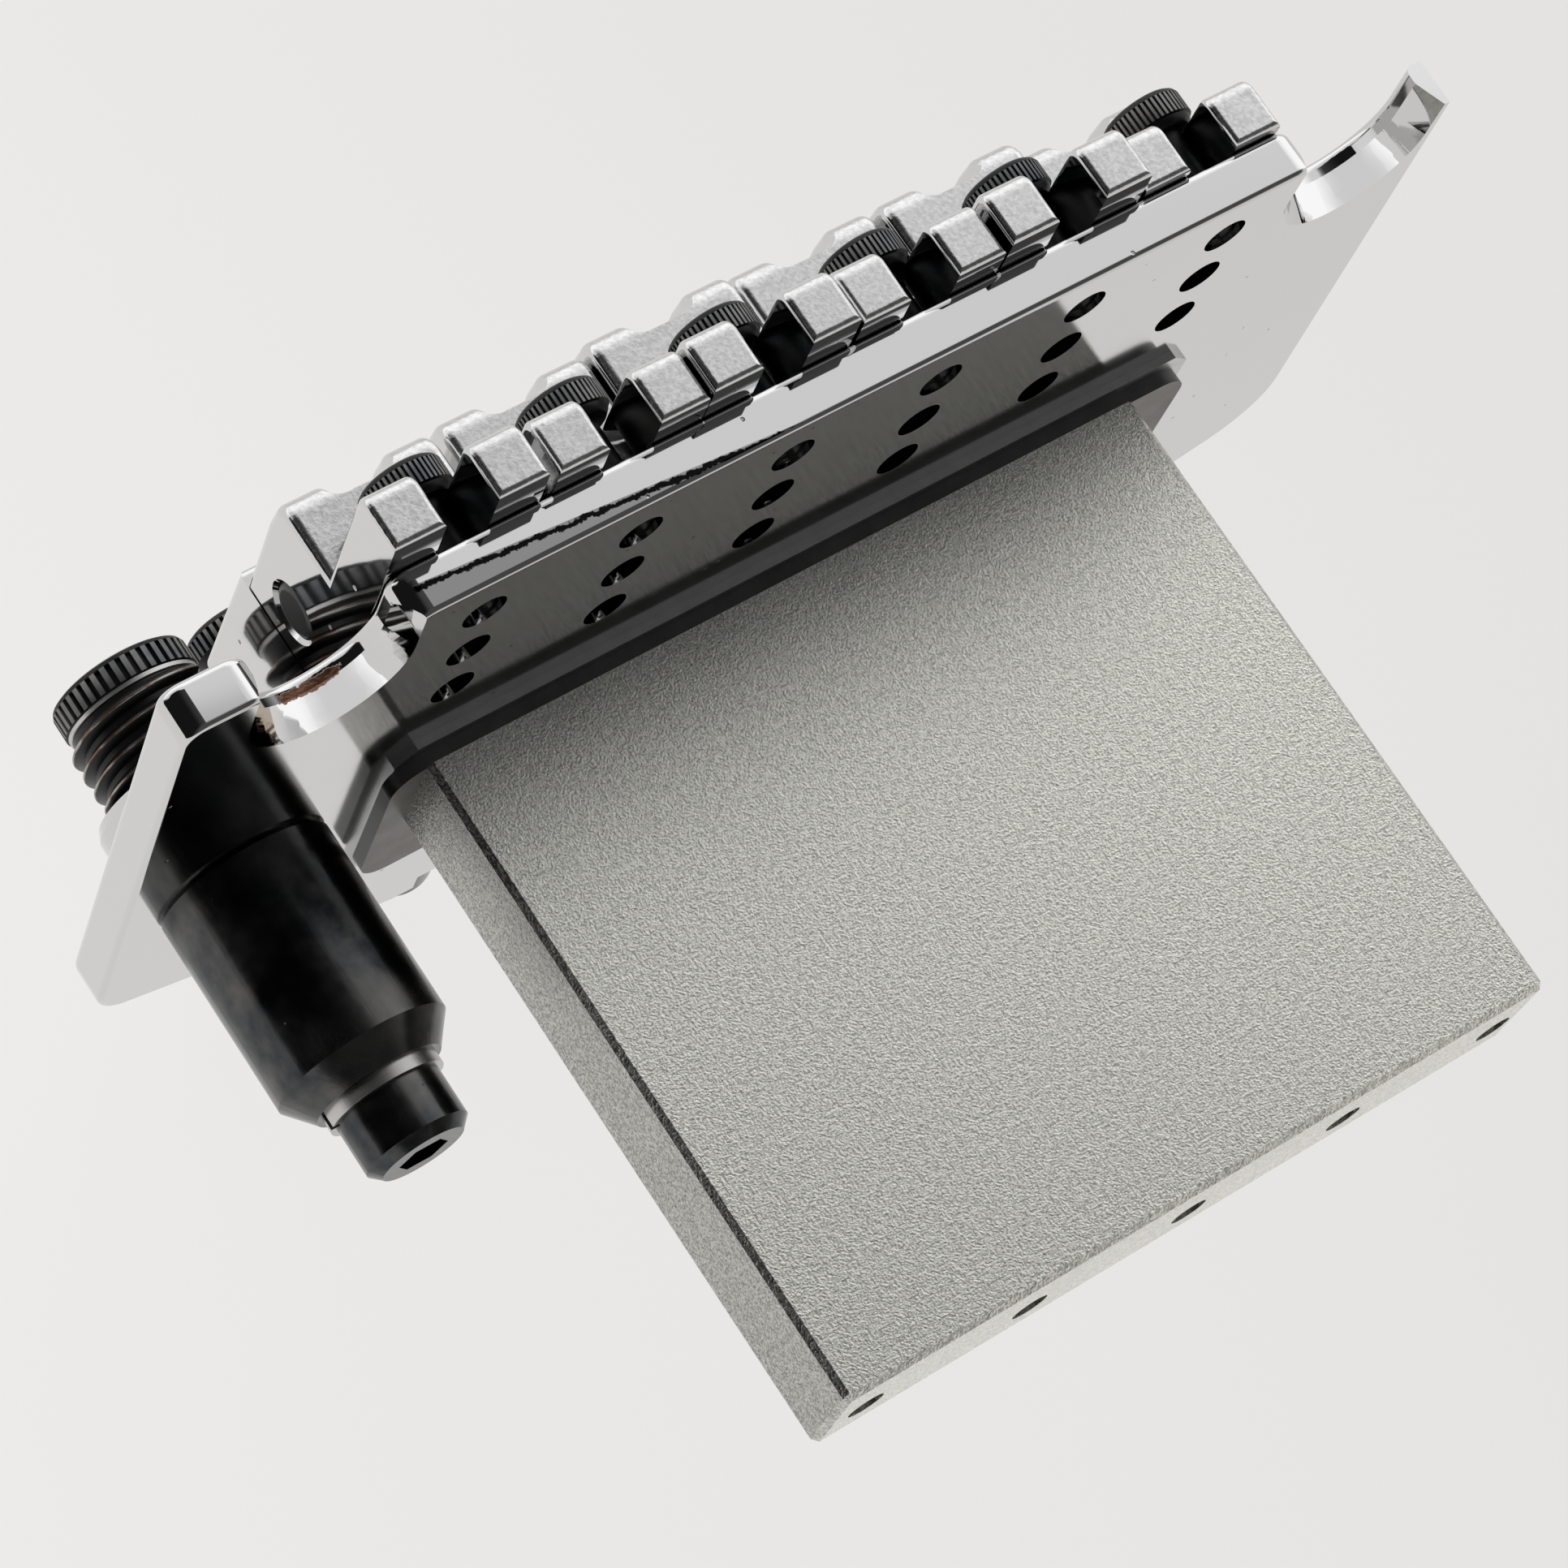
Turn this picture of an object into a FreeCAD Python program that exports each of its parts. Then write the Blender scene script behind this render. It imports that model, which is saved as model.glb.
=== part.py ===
"""Double-locking guitar tremolo bridge, in millimetres.

+X points to the treble (arm) side, +Y to the neck and +Z up, away from the guitar's body.
The origin lies midway between the two stud axes, on the underside of the base plate.
Strings are numbered from the treble side. A saddle piece is drawn in its own frame: X = 0 on the
string, Y = 0 on the nominal hold-down line and Z = 0 on top of the base plate.
"""
import FreeCAD, Part
import math
import os

import Sketcher

SIZES = (
    ("string_pitch", 10.8, "spacing of neighbouring strings"),
    ("string_offset", 0.15, "middle of the strings towards the treble side"),
    ("saddle_gap", 0.4, "gap between neighbouring saddles and levers"),
    # Base plate
    ("plate_thickness", 3.2, "base plate"),
    ("front_reach", 4.0, "front edge ahead of the stud line"),
    ("stud_gap", 10.3, "stud axes outside the outer strings"),
    ("knife_radius", 4.6, "notch radius at the knife edge"),
    ("bevel_width", 0.9, "widening of the notch at the underside"),
    ("bevel_depth", 2.0, "height of the knife edge bevel"),
    ("treble_wing", 8.6, "outer edge of the treble wing beyond the arm axis"),
    ("treble_rear", 37.4, "rear corner of the treble wing behind the stud line"),
    ("bass_horn", 5.9, "outer edge of the bass horn beyond the stud axis, at its tip"),
    ("bass_wing", 7.4, "outer edge of the bass wing beyond the stud axis, at its rear corner"),
    ("bass_rear", 37.9, "rear corner of the bass wing behind the stud line"),
    ("bass_tip_drop", 0.4, "tip of the bass horn behind the front edge"),
    ("rear_edge", 44.2, "middle rear edge behind the stud line"),
    ("ear_edge", 45.9, "ears beside the middle rear edge, behind the stud line"),
    ("ear_inner", 22.6, "inner side of an ear from the centre"),
    ("ear_outer", 25.2, "outer side of an ear from the centre"),
    ("horn_round", 1.5, "rounding of the notches' mouths"),
    ("wing_round", 1.5, "rounding of the treble wing's outer front corner"),
    ("treble_corner", 3.5, "rounding of the treble rear corner"),
    ("bass_corner", 6.0, "rounding of the bass rear corner"),
    ("under_round", 0.35, "rounding of the front lower edge"),
    ("edge_round", 0.6, "rounding of the front top edge and the notches' top rims"),
    ("hole_row_pitch", 5.12, "spacing of the three rows of saddle holes"),
    # Raised bar that carries the fine tuners
    ("bar_front", 33.1, "front of the tuner bar behind the stud line"),
    ("bar_depth", 5.4, "tuner bar along the strings"),
    ("bar_end", 6.0, "tuner bar beyond the outer strings"),
    ("bar_height", 11.6, "tuner bar above the plate"),
    ("bar_round", 1.6, "rounding of the bar's top edges"),
    ("window_width", 7.0, "window for a lever's tail"),
    ("window_height", 9.2, "window for a lever's tail"),
    # Saddle
    ("foot_reach", 7.0, "prong tips ahead of the hold-down line"),
    ("foot_thickness", 3.85, "prongs"),
    ("fork_slot", 3.5, "slot between the prongs"),
    ("slot_end", 2.7, "closed end of the slot behind the hold-down line"),
    ("wall_setback", 3.7, "foot of the front wall behind the hold-down line"),
    ("crest_height", 9.3, "outer saddles above the plate"),
    ("rise_2", 0.45, "second and fifth saddle above the outer ones"),
    ("rise_3", 0.75, "third and fourth saddle above the outer ones"),
    ("cheek_round", 0.6, "rounding of the crest's outer edges"),
    ("gap_round", 0.7, "rounding of the crest towards the string gap"),
    ("crest_round", 1.5, "rounding of the crest"),
    ("crest_slope", 7.0, "end of the crest's slope behind the hold-down line"),
    ("crest_rise", 0.35, "rise of the crest towards the lever"),
    ("saddle_rear", 14.8, "rear face of the saddle behind the hold-down line"),
    ("cheek_gap", 3.8, "gap between the saddle's cheeks"),
    ("cheek_floor", 1.6, "floor between the cheeks"),
    ("web_thickness", 1.6, "front wall between the cheeks"),
    ("web_drop", 1.3, "front wall between the cheeks below the crest"),
    ("prong_round", 0.4, "rounding of the prongs' other front edges"),
    ("prong_crown", 1.0, "rounding of the prongs' upper front edges"),
    ("pin_dia", 3.8, "pivot pin"),
    ("pin_setback", 11.35, "pivot pin behind the hold-down line"),
    ("pin_height", 5.5, "pivot pin above the plate"),
    ("pin_recess", 0.05, "pivot pin below the saddle's sides"),
    ("pin_round", 0.5, "rounding of the pivot pin's ends"),
    ("pin_rim", 0.25, "chamfer round the pivot pin's ends"),
    ("running_gap", 0.05, "radial clearance of pins and screws"),
    # Lever
    ("seam", 0.3, "gap between saddle and lever"),
    ("side_gap", 0.2, "gap on each side of the tongue"),
    ("tongue_lift", 0.6, "tongue above the floor between the cheeks"),
    ("nose_gap", 0.5, "nose behind the front wall"),
    ("nose_rise", 0.1, "string rest above the crest"),
    ("nose_round", 2.2, "rounding of the string rest"),
    ("groove_width", 1.4, "string groove"),
    ("groove_depth", 0.4, "string groove"),
    ("lever_lift", 2.0, "underside of the lever above the plate"),
    ("lever_rise", 1.25, "front of the lever's top above the crest"),
    ("lever_slope", 0.4, "rise of the lever's top towards its rear"),
    ("lever_length", 13.2, "full-width body of the lever"),
    ("lever_round", 0.6, "rounding of the lever's top edges"),
    ("tail_width", 6.0, "tail under the tuner bar"),
    ("tail_height", 7.8, "top of the tail above the plate"),
    ("tail_length", 15.0, "tail behind the lever's body"),
    ("clamp_wall", 2.4, "wall ahead of the clamping pocket"),
    ("clamp_length", 8.4, "clamping pocket along the string"),
    ("clamp_width", 5.8, "clamping pocket across the string"),
    ("clamp_floor", 1.0, "floor under the clamping pocket"),
    ("insert_length", 4.5, "clamping insert along the string"),
    ("insert_gap", 0.1, "clearance round the clamping insert"),
    ("insert_height", 6.4, "clamping insert"),
    ("insert_chamfer", 0.6, "chamfer on the insert's upper edges"),
    ("string_gap", 2.0, "room for the string ahead of the insert"),
    # Screws
    ("hold_dia", 2.9, "hold-down screw's thread"),
    ("hold_head_dia", 5.5, "hold-down screw's head"),
    ("hold_head", 2.45, "hold-down screw's head height"),
    ("hold_bevel", 0.5, "bevel under the hold-down screw's head"),
    ("hold_tip_inset", 1.2, "hold-down screw's tip inside the plate's underside"),
    ("hold_key", 2.5, "hold-down screw's hexagon"),
    ("lock_dia", 4.4, "string lock screw's thread"),
    ("lock_length", 34.5, "string lock screw under its head"),
    ("lock_head_dia", 7.0, "string lock screw's head"),
    ("lock_head", 5.0, "string lock screw's head length"),
    ("lock_key", 3.0, "string lock screw's hexagon"),
    ("tuner_dia", 3.9, "fine tuner's thread"),
    ("tuner_tip_dia", 2.4, "fine tuner's tip"),
    ("tuner_tip", 1.0, "taper of the fine tuner's tip"),
    ("tuner_gap", 0.1, "fine tuner's tip above the lever's tail"),
    ("tuner_rise", 1.2, "fine tuner's head above the bar at rest"),
    ("tuner_head_dia", 6.2, "fine tuner's head"),
    ("tuner_head", 2.2, "fine tuner's head height"),
    ("tuner_dish", 0.6, "hollow in the fine tuner's head"),
    ("head_chamfer", 0.35, "chamfer on screw heads"),
    ("socket_depth", 1.5, "depth of the hexagons"),
    # Leaf springs under the tails
    ("spring_front", 26.5, "front of a leaf spring behind the stud line"),
    ("spring_foot", 5.5, "flat foot of a leaf spring"),
    ("spring_reach", 7.0, "rising finger of a leaf spring"),
    ("spring_width", 5.0, "leaf spring"),
    ("spring_thickness", 0.4, "leaf spring"),
    ("spring_gap", 0.1, "leaf spring's end below the lever"),
    ("spring_screw_dia", 2.4, "leaf spring screw's thread"),
    ("spring_screw_length", 2.6, "leaf spring screw under its head"),
    ("spring_head_dia", 4.2, "leaf spring screw's head"),
    ("spring_head", 0.6, "leaf spring screw's head height"),
    # Sustain block and what lies between it and the plate
    ("shim_thickness", 0.6, "shim under the plate"),
    ("shim_front", 16.4, "shim's front edge behind the stud line"),
    ("shim_depth", 16.6, "shim along the strings"),
    ("shim_width", 60.3, "shim across the strings"),
    ("shim_offset", -0.1, "shim's centre towards the treble side"),
    ("shim_chamfer", 1.4, "cut corners of the shim"),
    ("spacer_thickness", 1.0, "spacer between shim and block"),
    ("spacer_offset", 0.45, "spacer's centre towards the treble side"),
    ("spacer_inset", 0.9, "spacer's front edge behind the shim's"),
    ("spacer_depth", 15.2, "spacer along the strings"),
    ("spacer_width", 60.3, "spacer across the strings"),
    ("spacer_round", 2.4, "rounded corners of the spacer"),
    ("block_offset", 1.85, "block's centre towards the treble side"),
    ("block_front", 16.8, "block's front face behind the stud line"),
    ("block_width", 53.3, "block across the strings"),
    ("block_thickness", 8.6, "block along the strings"),
    ("block_height", 45.1, "block"),
    ("block_chamfer", 0.4, "broken edges of the block"),
    ("spring_hole_dia", 2.5, "hole for a spring's hook"),
    ("spring_hole_pitch", 12.1, "spacing of the hook holes"),
    ("spring_hole_offset", 1.5, "middle hook hole towards the treble side"),
    ("spring_hole_depth", 12.0, "bass-most hole for a spring's hook"),
    ("spring_hole_step", 0.05, "each hook hole deeper than the one on its bass side"),
    ("spring_hole_setback", 5.0, "hook holes behind the block's front face"),
    ("block_screw_dia", 3.9, "block screw's thread"),
    ("block_screw_pitch", 19.0, "spacing of the block screws"),
    ("block_screw_length", 12.0, "block screw under its head"),
    ("block_head_dia", 7.4, "block screw's head"),
    ("block_head", 2.0, "block screw's head height"),
    ("block_key", 2.5, "block screw's hexagon"),
    # Arm socket
    ("arm_setback", 25.0, "arm axis behind the stud line"),
    ("arm_bore_dia", 6.1, "bore for the arm"),
    ("arm_bore_floor", 5.0, "floor of the arm's bore below the plate's underside"),
    ("socket_dia", 10.0, "threaded socket tube"),
    ("socket_height", 9.1, "socket tube above the plate"),
    ("collar_dia", 9.2, "knurled torque collar"),
    ("collar_height", 2.3, "knurled torque collar"),
    ("collar_bore_dia", 6.5, "torque collar's bore"),
    ("spigot_dia", 7.8, "torque collar's spigot in the tube"),
    ("spigot_length", 2.6, "torque collar's spigot in the tube"),
    ("nut_wall", 1.2, "round nut outside the socket tube"),
    ("nut_gap", 0.2, "nut beside the first lever"),
    ("nut_height", 3.8, "round nut on top of the plate"),
    ("nut_taper", 0.9, "rounded shoulder of the nut"),
    ("sleeve_wall", 0.8, "lock sleeve outside the socket tube"),
    ("sleeve_length", 15.3, "lock sleeve under the plate"),
    ("sleeve_edge", 0.25, "broken upper edge of the lock sleeve"),
    ("sleeve_taper", 1.9, "tapered end of the lock sleeve"),
    ("sleeve_shrink", 1.5, "how far the tapered end draws in"),
    ("sleeve_floor", 2.75, "floor of the lock sleeve under the socket tube"),
    ("washer_dia", 7.8, "spring lock washer"),
    ("washer_bore_dia", 4.4, "spring lock washer"),
    ("washer_thickness", 0.9, "spring lock washer"),
    ("washer_split", 0.6, "split of the lock washer"),
    ("cap_dia", 3.9, "cap screw's thread"),
    ("cap_length", 7.0, "cap screw under its head"),
    ("cap_head_dia", 7.0, "cap screw's head"),
    ("cap_head", 4.0, "cap screw's head height"),
    ("cap_bevel", 0.7, "bevel of the cap screw's head"),
    ("cap_key", 3.0, "cap screw's hexagon"),
    # Intonation: each saddle ahead of the nominal hold-down line
    ("setback_1", 0.3, "saddle 1"),
    ("setback_2", -0.5, "saddle 2"),
    ("setback_3", 0.2, "saddle 3"),
    ("setback_4", -0.7, "saddle 4"),
    ("setback_5", 0.1, "saddle 5"),
    ("setback_6", -2.3, "saddle 6"),
    # Side play: each saddle from its string's line towards the treble side
    ("play_1", 0.25, "saddle 1"),
    ("play_2", -0.2, "saddle 2"),
    ("play_3", 0.1, "saddle 3"),
    ("play_4", 0.1, "saddle 4"),
    ("play_5", 0.25, "saddle 5"),
    ("play_6", 0.25, "saddle 6"),
)
STRINGS = 6
SPRING_HOLES = 5
BLOCK_SCREWS = 3
HOLE_ROWS = 3
NEAR = 0.01

doc = FreeCAD.newDocument("tremolo_bridge")
sheet = doc.addObject("Spreadsheet::Sheet", "Sizes")
for row, (alias, number, meaning) in enumerate(SIZES, start=1):
    sheet.set(f"A{row}", alias)
    sheet.set(f"B{row}", str(number))
    sheet.set(f"C{row}", meaning)
    sheet.setAlias(f"B{row}", alias)
doc.recompute()

PLATE_TOP = "Sizes.plate_thickness"
SEAM_REAR = "(-Sizes.saddle_rear - Sizes.seam)"
TAIL_FRONT = f"({SEAM_REAR} - Sizes.lever_length)"
LOCK_HEIGHT = "((Sizes.lever_lift + Sizes.tail_height) / 2)"
CLAMP_FRONT = f"({SEAM_REAR} - Sizes.clamp_wall)"
CLAMP_FLOOR = "(Sizes.lever_lift + Sizes.clamp_floor)"
INSERT_REAR = f"({CLAMP_FRONT} - Sizes.string_gap - Sizes.insert_length)"
TUNER_LINE = "(-Sizes.bar_front - Sizes.bar_depth / 2)"
BLOCK_TOP = "(-Sizes.shim_thickness - Sizes.spacer_thickness)"
BLOCK_MIDDLE = "(-Sizes.block_front - Sizes.block_thickness / 2)"
OUTER_STRING = f"Sizes.string_pitch * {(STRINGS - 1) / 2}"
SADDLE_WIDTH = "(Sizes.string_pitch - Sizes.saddle_gap)"
STUD_X = f"({OUTER_STRING} + Sizes.stud_gap)"
ARM_X = (f"(Sizes.string_offset + {OUTER_STRING} + Sizes.play_1 + {SADDLE_WIDTH} / 2"
         " + Sizes.nut_gap + Sizes.socket_dia / 2 + Sizes.nut_wall)")
SLEEVE_RADIUS = "(Sizes.socket_dia / 2 + Sizes.sleeve_wall)"
SOCKET_FOOT = "(-Sizes.sleeve_length + Sizes.sleeve_floor + Sizes.running_gap)"


def value(expression):
    """Number that a sheet expression stands for."""
    return float(sheet.evalExpression(expression))


def string_x(string):
    """Expression for the X of a string, 1 on the treble side."""
    return f"Sizes.string_offset + Sizes.string_pitch * {(STRINGS + 1) / 2 - string}"


def centred(count, index):
    """Steps from the middle of a row of count things."""
    return index - (count - 1) / 2


def new_body(name):
    body = doc.addObject("PartDesign::Body", name)
    body.Label = name
    return body


def new_sketch(body, plane, height="0"):
    """Sketch on one of the body's own planes, lifted along the plane's normal."""
    sketch = body.newObject("Sketcher::SketchObject", f"{body.Name}_sketch")
    support = next(item for item in body.Origin.OriginFeatures if item.Role == plane)
    sketch.AttachmentSupport = (support, [""])
    sketch.MapMode = "FlatFace"
    sketch.setExpression("AttachmentOffset.Base.z", height)
    return sketch


def hold(sketch, kind, size, *elements):
    """Dimension in a sketch that follows a sheet expression."""
    index = sketch.addConstraint(Sketcher.Constraint(kind, *elements, value(size)))
    sketch.setExpression(f"Constraints[{index}]", size)


def outline(sketch, corners):
    """Closed straight-sided outline; each corner is a pair of sheet expressions."""
    points = [FreeCAD.Vector(value(x), value(y), 0) for x, y in corners]
    ends = points[1:] + points[:1]
    lines = [sketch.addGeometry(Part.LineSegment(a, b), False) for a, b in zip(points, ends)]
    for line, following in zip(lines, lines[1:] + lines[:1]):
        sketch.addConstraint(Sketcher.Constraint("Coincident", line, 2, following, 1))
    for line, (x, y) in zip(lines, corners):
        hold(sketch, "DistanceX", x, -1, 1, line, 1)
        hold(sketch, "DistanceY", y, -1, 1, line, 1)


def rectangle(sketch, left, right, low, high):
    outline(sketch, [(left, low), (right, low), (right, high), (left, high)])


def hexagon(sketch, across, x="0", y="0"):
    """Hexagon of a key width across its flats."""
    turns = [math.radians(60 * step) for step in range(6)]
    outline(sketch, [(f"{x} + {across} * {math.cos(turn) / math.sqrt(3):.6f}",
                      f"{y} + {across} * {math.sin(turn) / math.sqrt(3):.6f}") for turn in turns])


def circle(sketch, x, y, diameter):
    centre = FreeCAD.Vector(value(x), value(y), 0)
    axis = FreeCAD.Vector(0, 0, 1)
    ring = sketch.addGeometry(Part.Circle(centre, axis, value(diameter) / 2), False)
    hold(sketch, "DistanceX", x, -1, 1, ring, 3)
    hold(sketch, "DistanceY", y, -1, 1, ring, 3)
    hold(sketch, "Diameter", diameter, ring)


def horseshoe(sketch, x, y, radius, mouth):
    """Half-round notch about (x, y) whose straight sides run up to y = mouth."""
    centre = FreeCAD.Vector(value(x), value(y), 0)
    reach = value(radius)
    round_end = Part.Circle(centre, FreeCAD.Vector(0, 0, 1), reach)
    left = centre - FreeCAD.Vector(reach, 0, 0)
    right = centre + FreeCAD.Vector(reach, 0, 0)
    lift = FreeCAD.Vector(0, value(mouth) - centre.y, 0)
    arc = sketch.addGeometry(Part.ArcOfCircle(round_end, math.pi, 2 * math.pi), False)
    side = sketch.addGeometry(Part.LineSegment(right, right + lift), False)
    top = sketch.addGeometry(Part.LineSegment(right + lift, left + lift), False)
    back = sketch.addGeometry(Part.LineSegment(left + lift, left), False)
    for first, first_end, second, second_end in ((arc, 2, side, 1), (side, 2, top, 1),
                                                 (top, 2, back, 1), (back, 2, arc, 1)):
        sketch.addConstraint(Sketcher.Constraint("Coincident", first, first_end, second, second_end))
    sketch.addConstraint(Sketcher.Constraint("Vertical", side))
    sketch.addConstraint(Sketcher.Constraint("Vertical", back))
    sketch.addConstraint(Sketcher.Constraint("Horizontal", top))
    for arc_end in (1, 2):
        sketch.addConstraint(Sketcher.Constraint("Horizontal", arc, 3, arc, arc_end))
    hold(sketch, "DistanceX", x, -1, 1, arc, 3)
    hold(sketch, "DistanceY", y, -1, 1, arc, 3)
    hold(sketch, "Radius", radius, arc)
    hold(sketch, "DistanceY", mouth, -1, 1, side, 2)


def pad(body, sketch, length, symmetric=False):
    feature = body.newObject("PartDesign::Pad", f"{body.Name}_pad")
    feature.Profile = sketch
    feature.setExpression("Length", length)
    if symmetric:
        feature.SideType = "Symmetric"
    doc.recompute()
    return feature


def pocket(body, sketch, length=None, upward=False):
    """Cut through both ways, or to a length against or along the sketch's normal."""
    before = body.Shape.Volume
    feature = body.newObject("PartDesign::Pocket", f"{body.Name}_pocket")
    feature.Profile = sketch
    if length is None:
        feature.Type = "ThroughAll"
        feature.SideType = "Symmetric"
    else:
        feature.setExpression("Length", length)
        feature.Reversed = upward
    doc.recompute()
    if body.Shape.Volume > before - NEAR:
        raise RuntimeError(f"a pocket of {body.Label} cuts nothing")
    return feature


def slot_cut(body, sketch, width):
    """Cut of a given width, half to each side of the sketch's plane."""
    before = body.Shape.Volume
    feature = body.newObject("PartDesign::Pocket", f"{body.Name}_slot")
    feature.Profile = sketch
    feature.SideType = "Symmetric"
    feature.setExpression("Length", width)
    doc.recompute()
    if body.Shape.Volume > before - NEAR:
        raise RuntimeError(f"a slot of {body.Label} cuts nothing")
    return feature


def dress(body, kind, size_name, size, chosen):
    """Fillet or chamfer on the edges of the body's tip that the test picks."""
    base = body.Tip
    names = [f"Edge{number}" for number, edge in enumerate(base.Shape.Edges, start=1) if chosen(edge)]
    if not names:
        raise RuntimeError(f"no edge to dress on {body.Label}")
    feature = body.newObject(f"PartDesign::{kind}", f"{body.Name}_{kind.lower()}")
    feature.Base = (base, names)
    feature.setExpression(size_name, size)
    doc.recompute()
    return feature


def fillet(body, radius, chosen):
    return dress(body, "Fillet", "Radius", radius, chosen)


def chamfer(body, size, chosen):
    return dress(body, "Chamfer", "Size", size, chosen)


def upright_at(*corners):
    """Test for upright edges at the given plan corners."""
    places = [(value(x), value(y)) for x, y in corners]

    def chosen(edge):
        box = edge.BoundBox
        middle = box.Center
        return box.ZLength > 10 * max(box.XLength, box.YLength) and any(
            math.hypot(middle.x - x, middle.y - y) < NEAR for x, y in places)
    return chosen


def crossing_at(*corners):
    """Test for edges along X at the given (y, z) corners."""
    places = [(value(y), value(z)) for y, z in corners]

    def chosen(edge):
        box = edge.BoundBox
        middle = box.Center
        return box.XLength > 10 * max(box.YLength, box.ZLength) and any(
            math.hypot(middle.y - y, middle.z - z) < NEAR for y, z in places)
    return chosen


def level_at(height):
    """Test for edges that lie level at the given height."""
    level = value(height)
    return lambda edge: abs(edge.BoundBox.ZMin - level) < NEAR and abs(edge.BoundBox.ZMax - level) < NEAR


def turned(name, profile, plane="XZ_Plane"):
    """Turned piece; the profile's corners are (radius, height) along the plane's upright axis."""
    body = new_body(name)
    sketch = new_sketch(body, plane)
    outline(sketch, profile)
    feature = body.newObject("PartDesign::Revolution", f"{name}_turn")
    feature.Profile = sketch
    feature.ReferenceAxis = (sketch, ["V_Axis"])
    feature.Angle = 360
    doc.recompute()
    return body


def place(item, x="0", y="0", z="0"):
    for axis, expression in zip("xyz", (x, y, z)):
        item.setExpression(f"Placement.Base.{axis}", expression)
    return item


def copy_of(master, name, x, y, z):
    """Linked copy of a drawn piece at its place in the bridge."""
    link = doc.addObject("App::Link", name)
    link.Label = name
    link.LinkedObject = master
    return place(link, x, y, z)


def group_of(master, name, places):
    """One node of several like pieces."""
    copies = [copy_of(master, f"{name}_{number}", *spot) for number, spot in enumerate(places, start=1)]
    group = doc.addObject("Part::Compound", name)
    group.Label = name
    group.Links = copies
    return group


def socket_screw(name, thread, length, head_dia, head, key, under=None):
    """Socket head screw, head upwards, seated at Z = 0, with or without a bevel under its head."""
    bevel = "Sizes.head_chamfer"
    seat = [(f"{head_dia} / 2", "0")]
    if under:
        seat = [(f"{head_dia} / 2 - {under}", "0"), (f"{head_dia} / 2", under)]
    body = turned(name, [("0", f"-{length}"), (f"{thread} / 2", f"-{length}"), (f"{thread} / 2", "0"),
                         *seat, (f"{head_dia} / 2", f"{head} - {bevel}"),
                         (f"{head_dia} / 2 - {bevel}", head), ("0", head)])
    sketch = new_sketch(body, "XY_Plane", head)
    hexagon(sketch, key)
    pocket(body, sketch, "Sizes.socket_depth")
    return body


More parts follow.
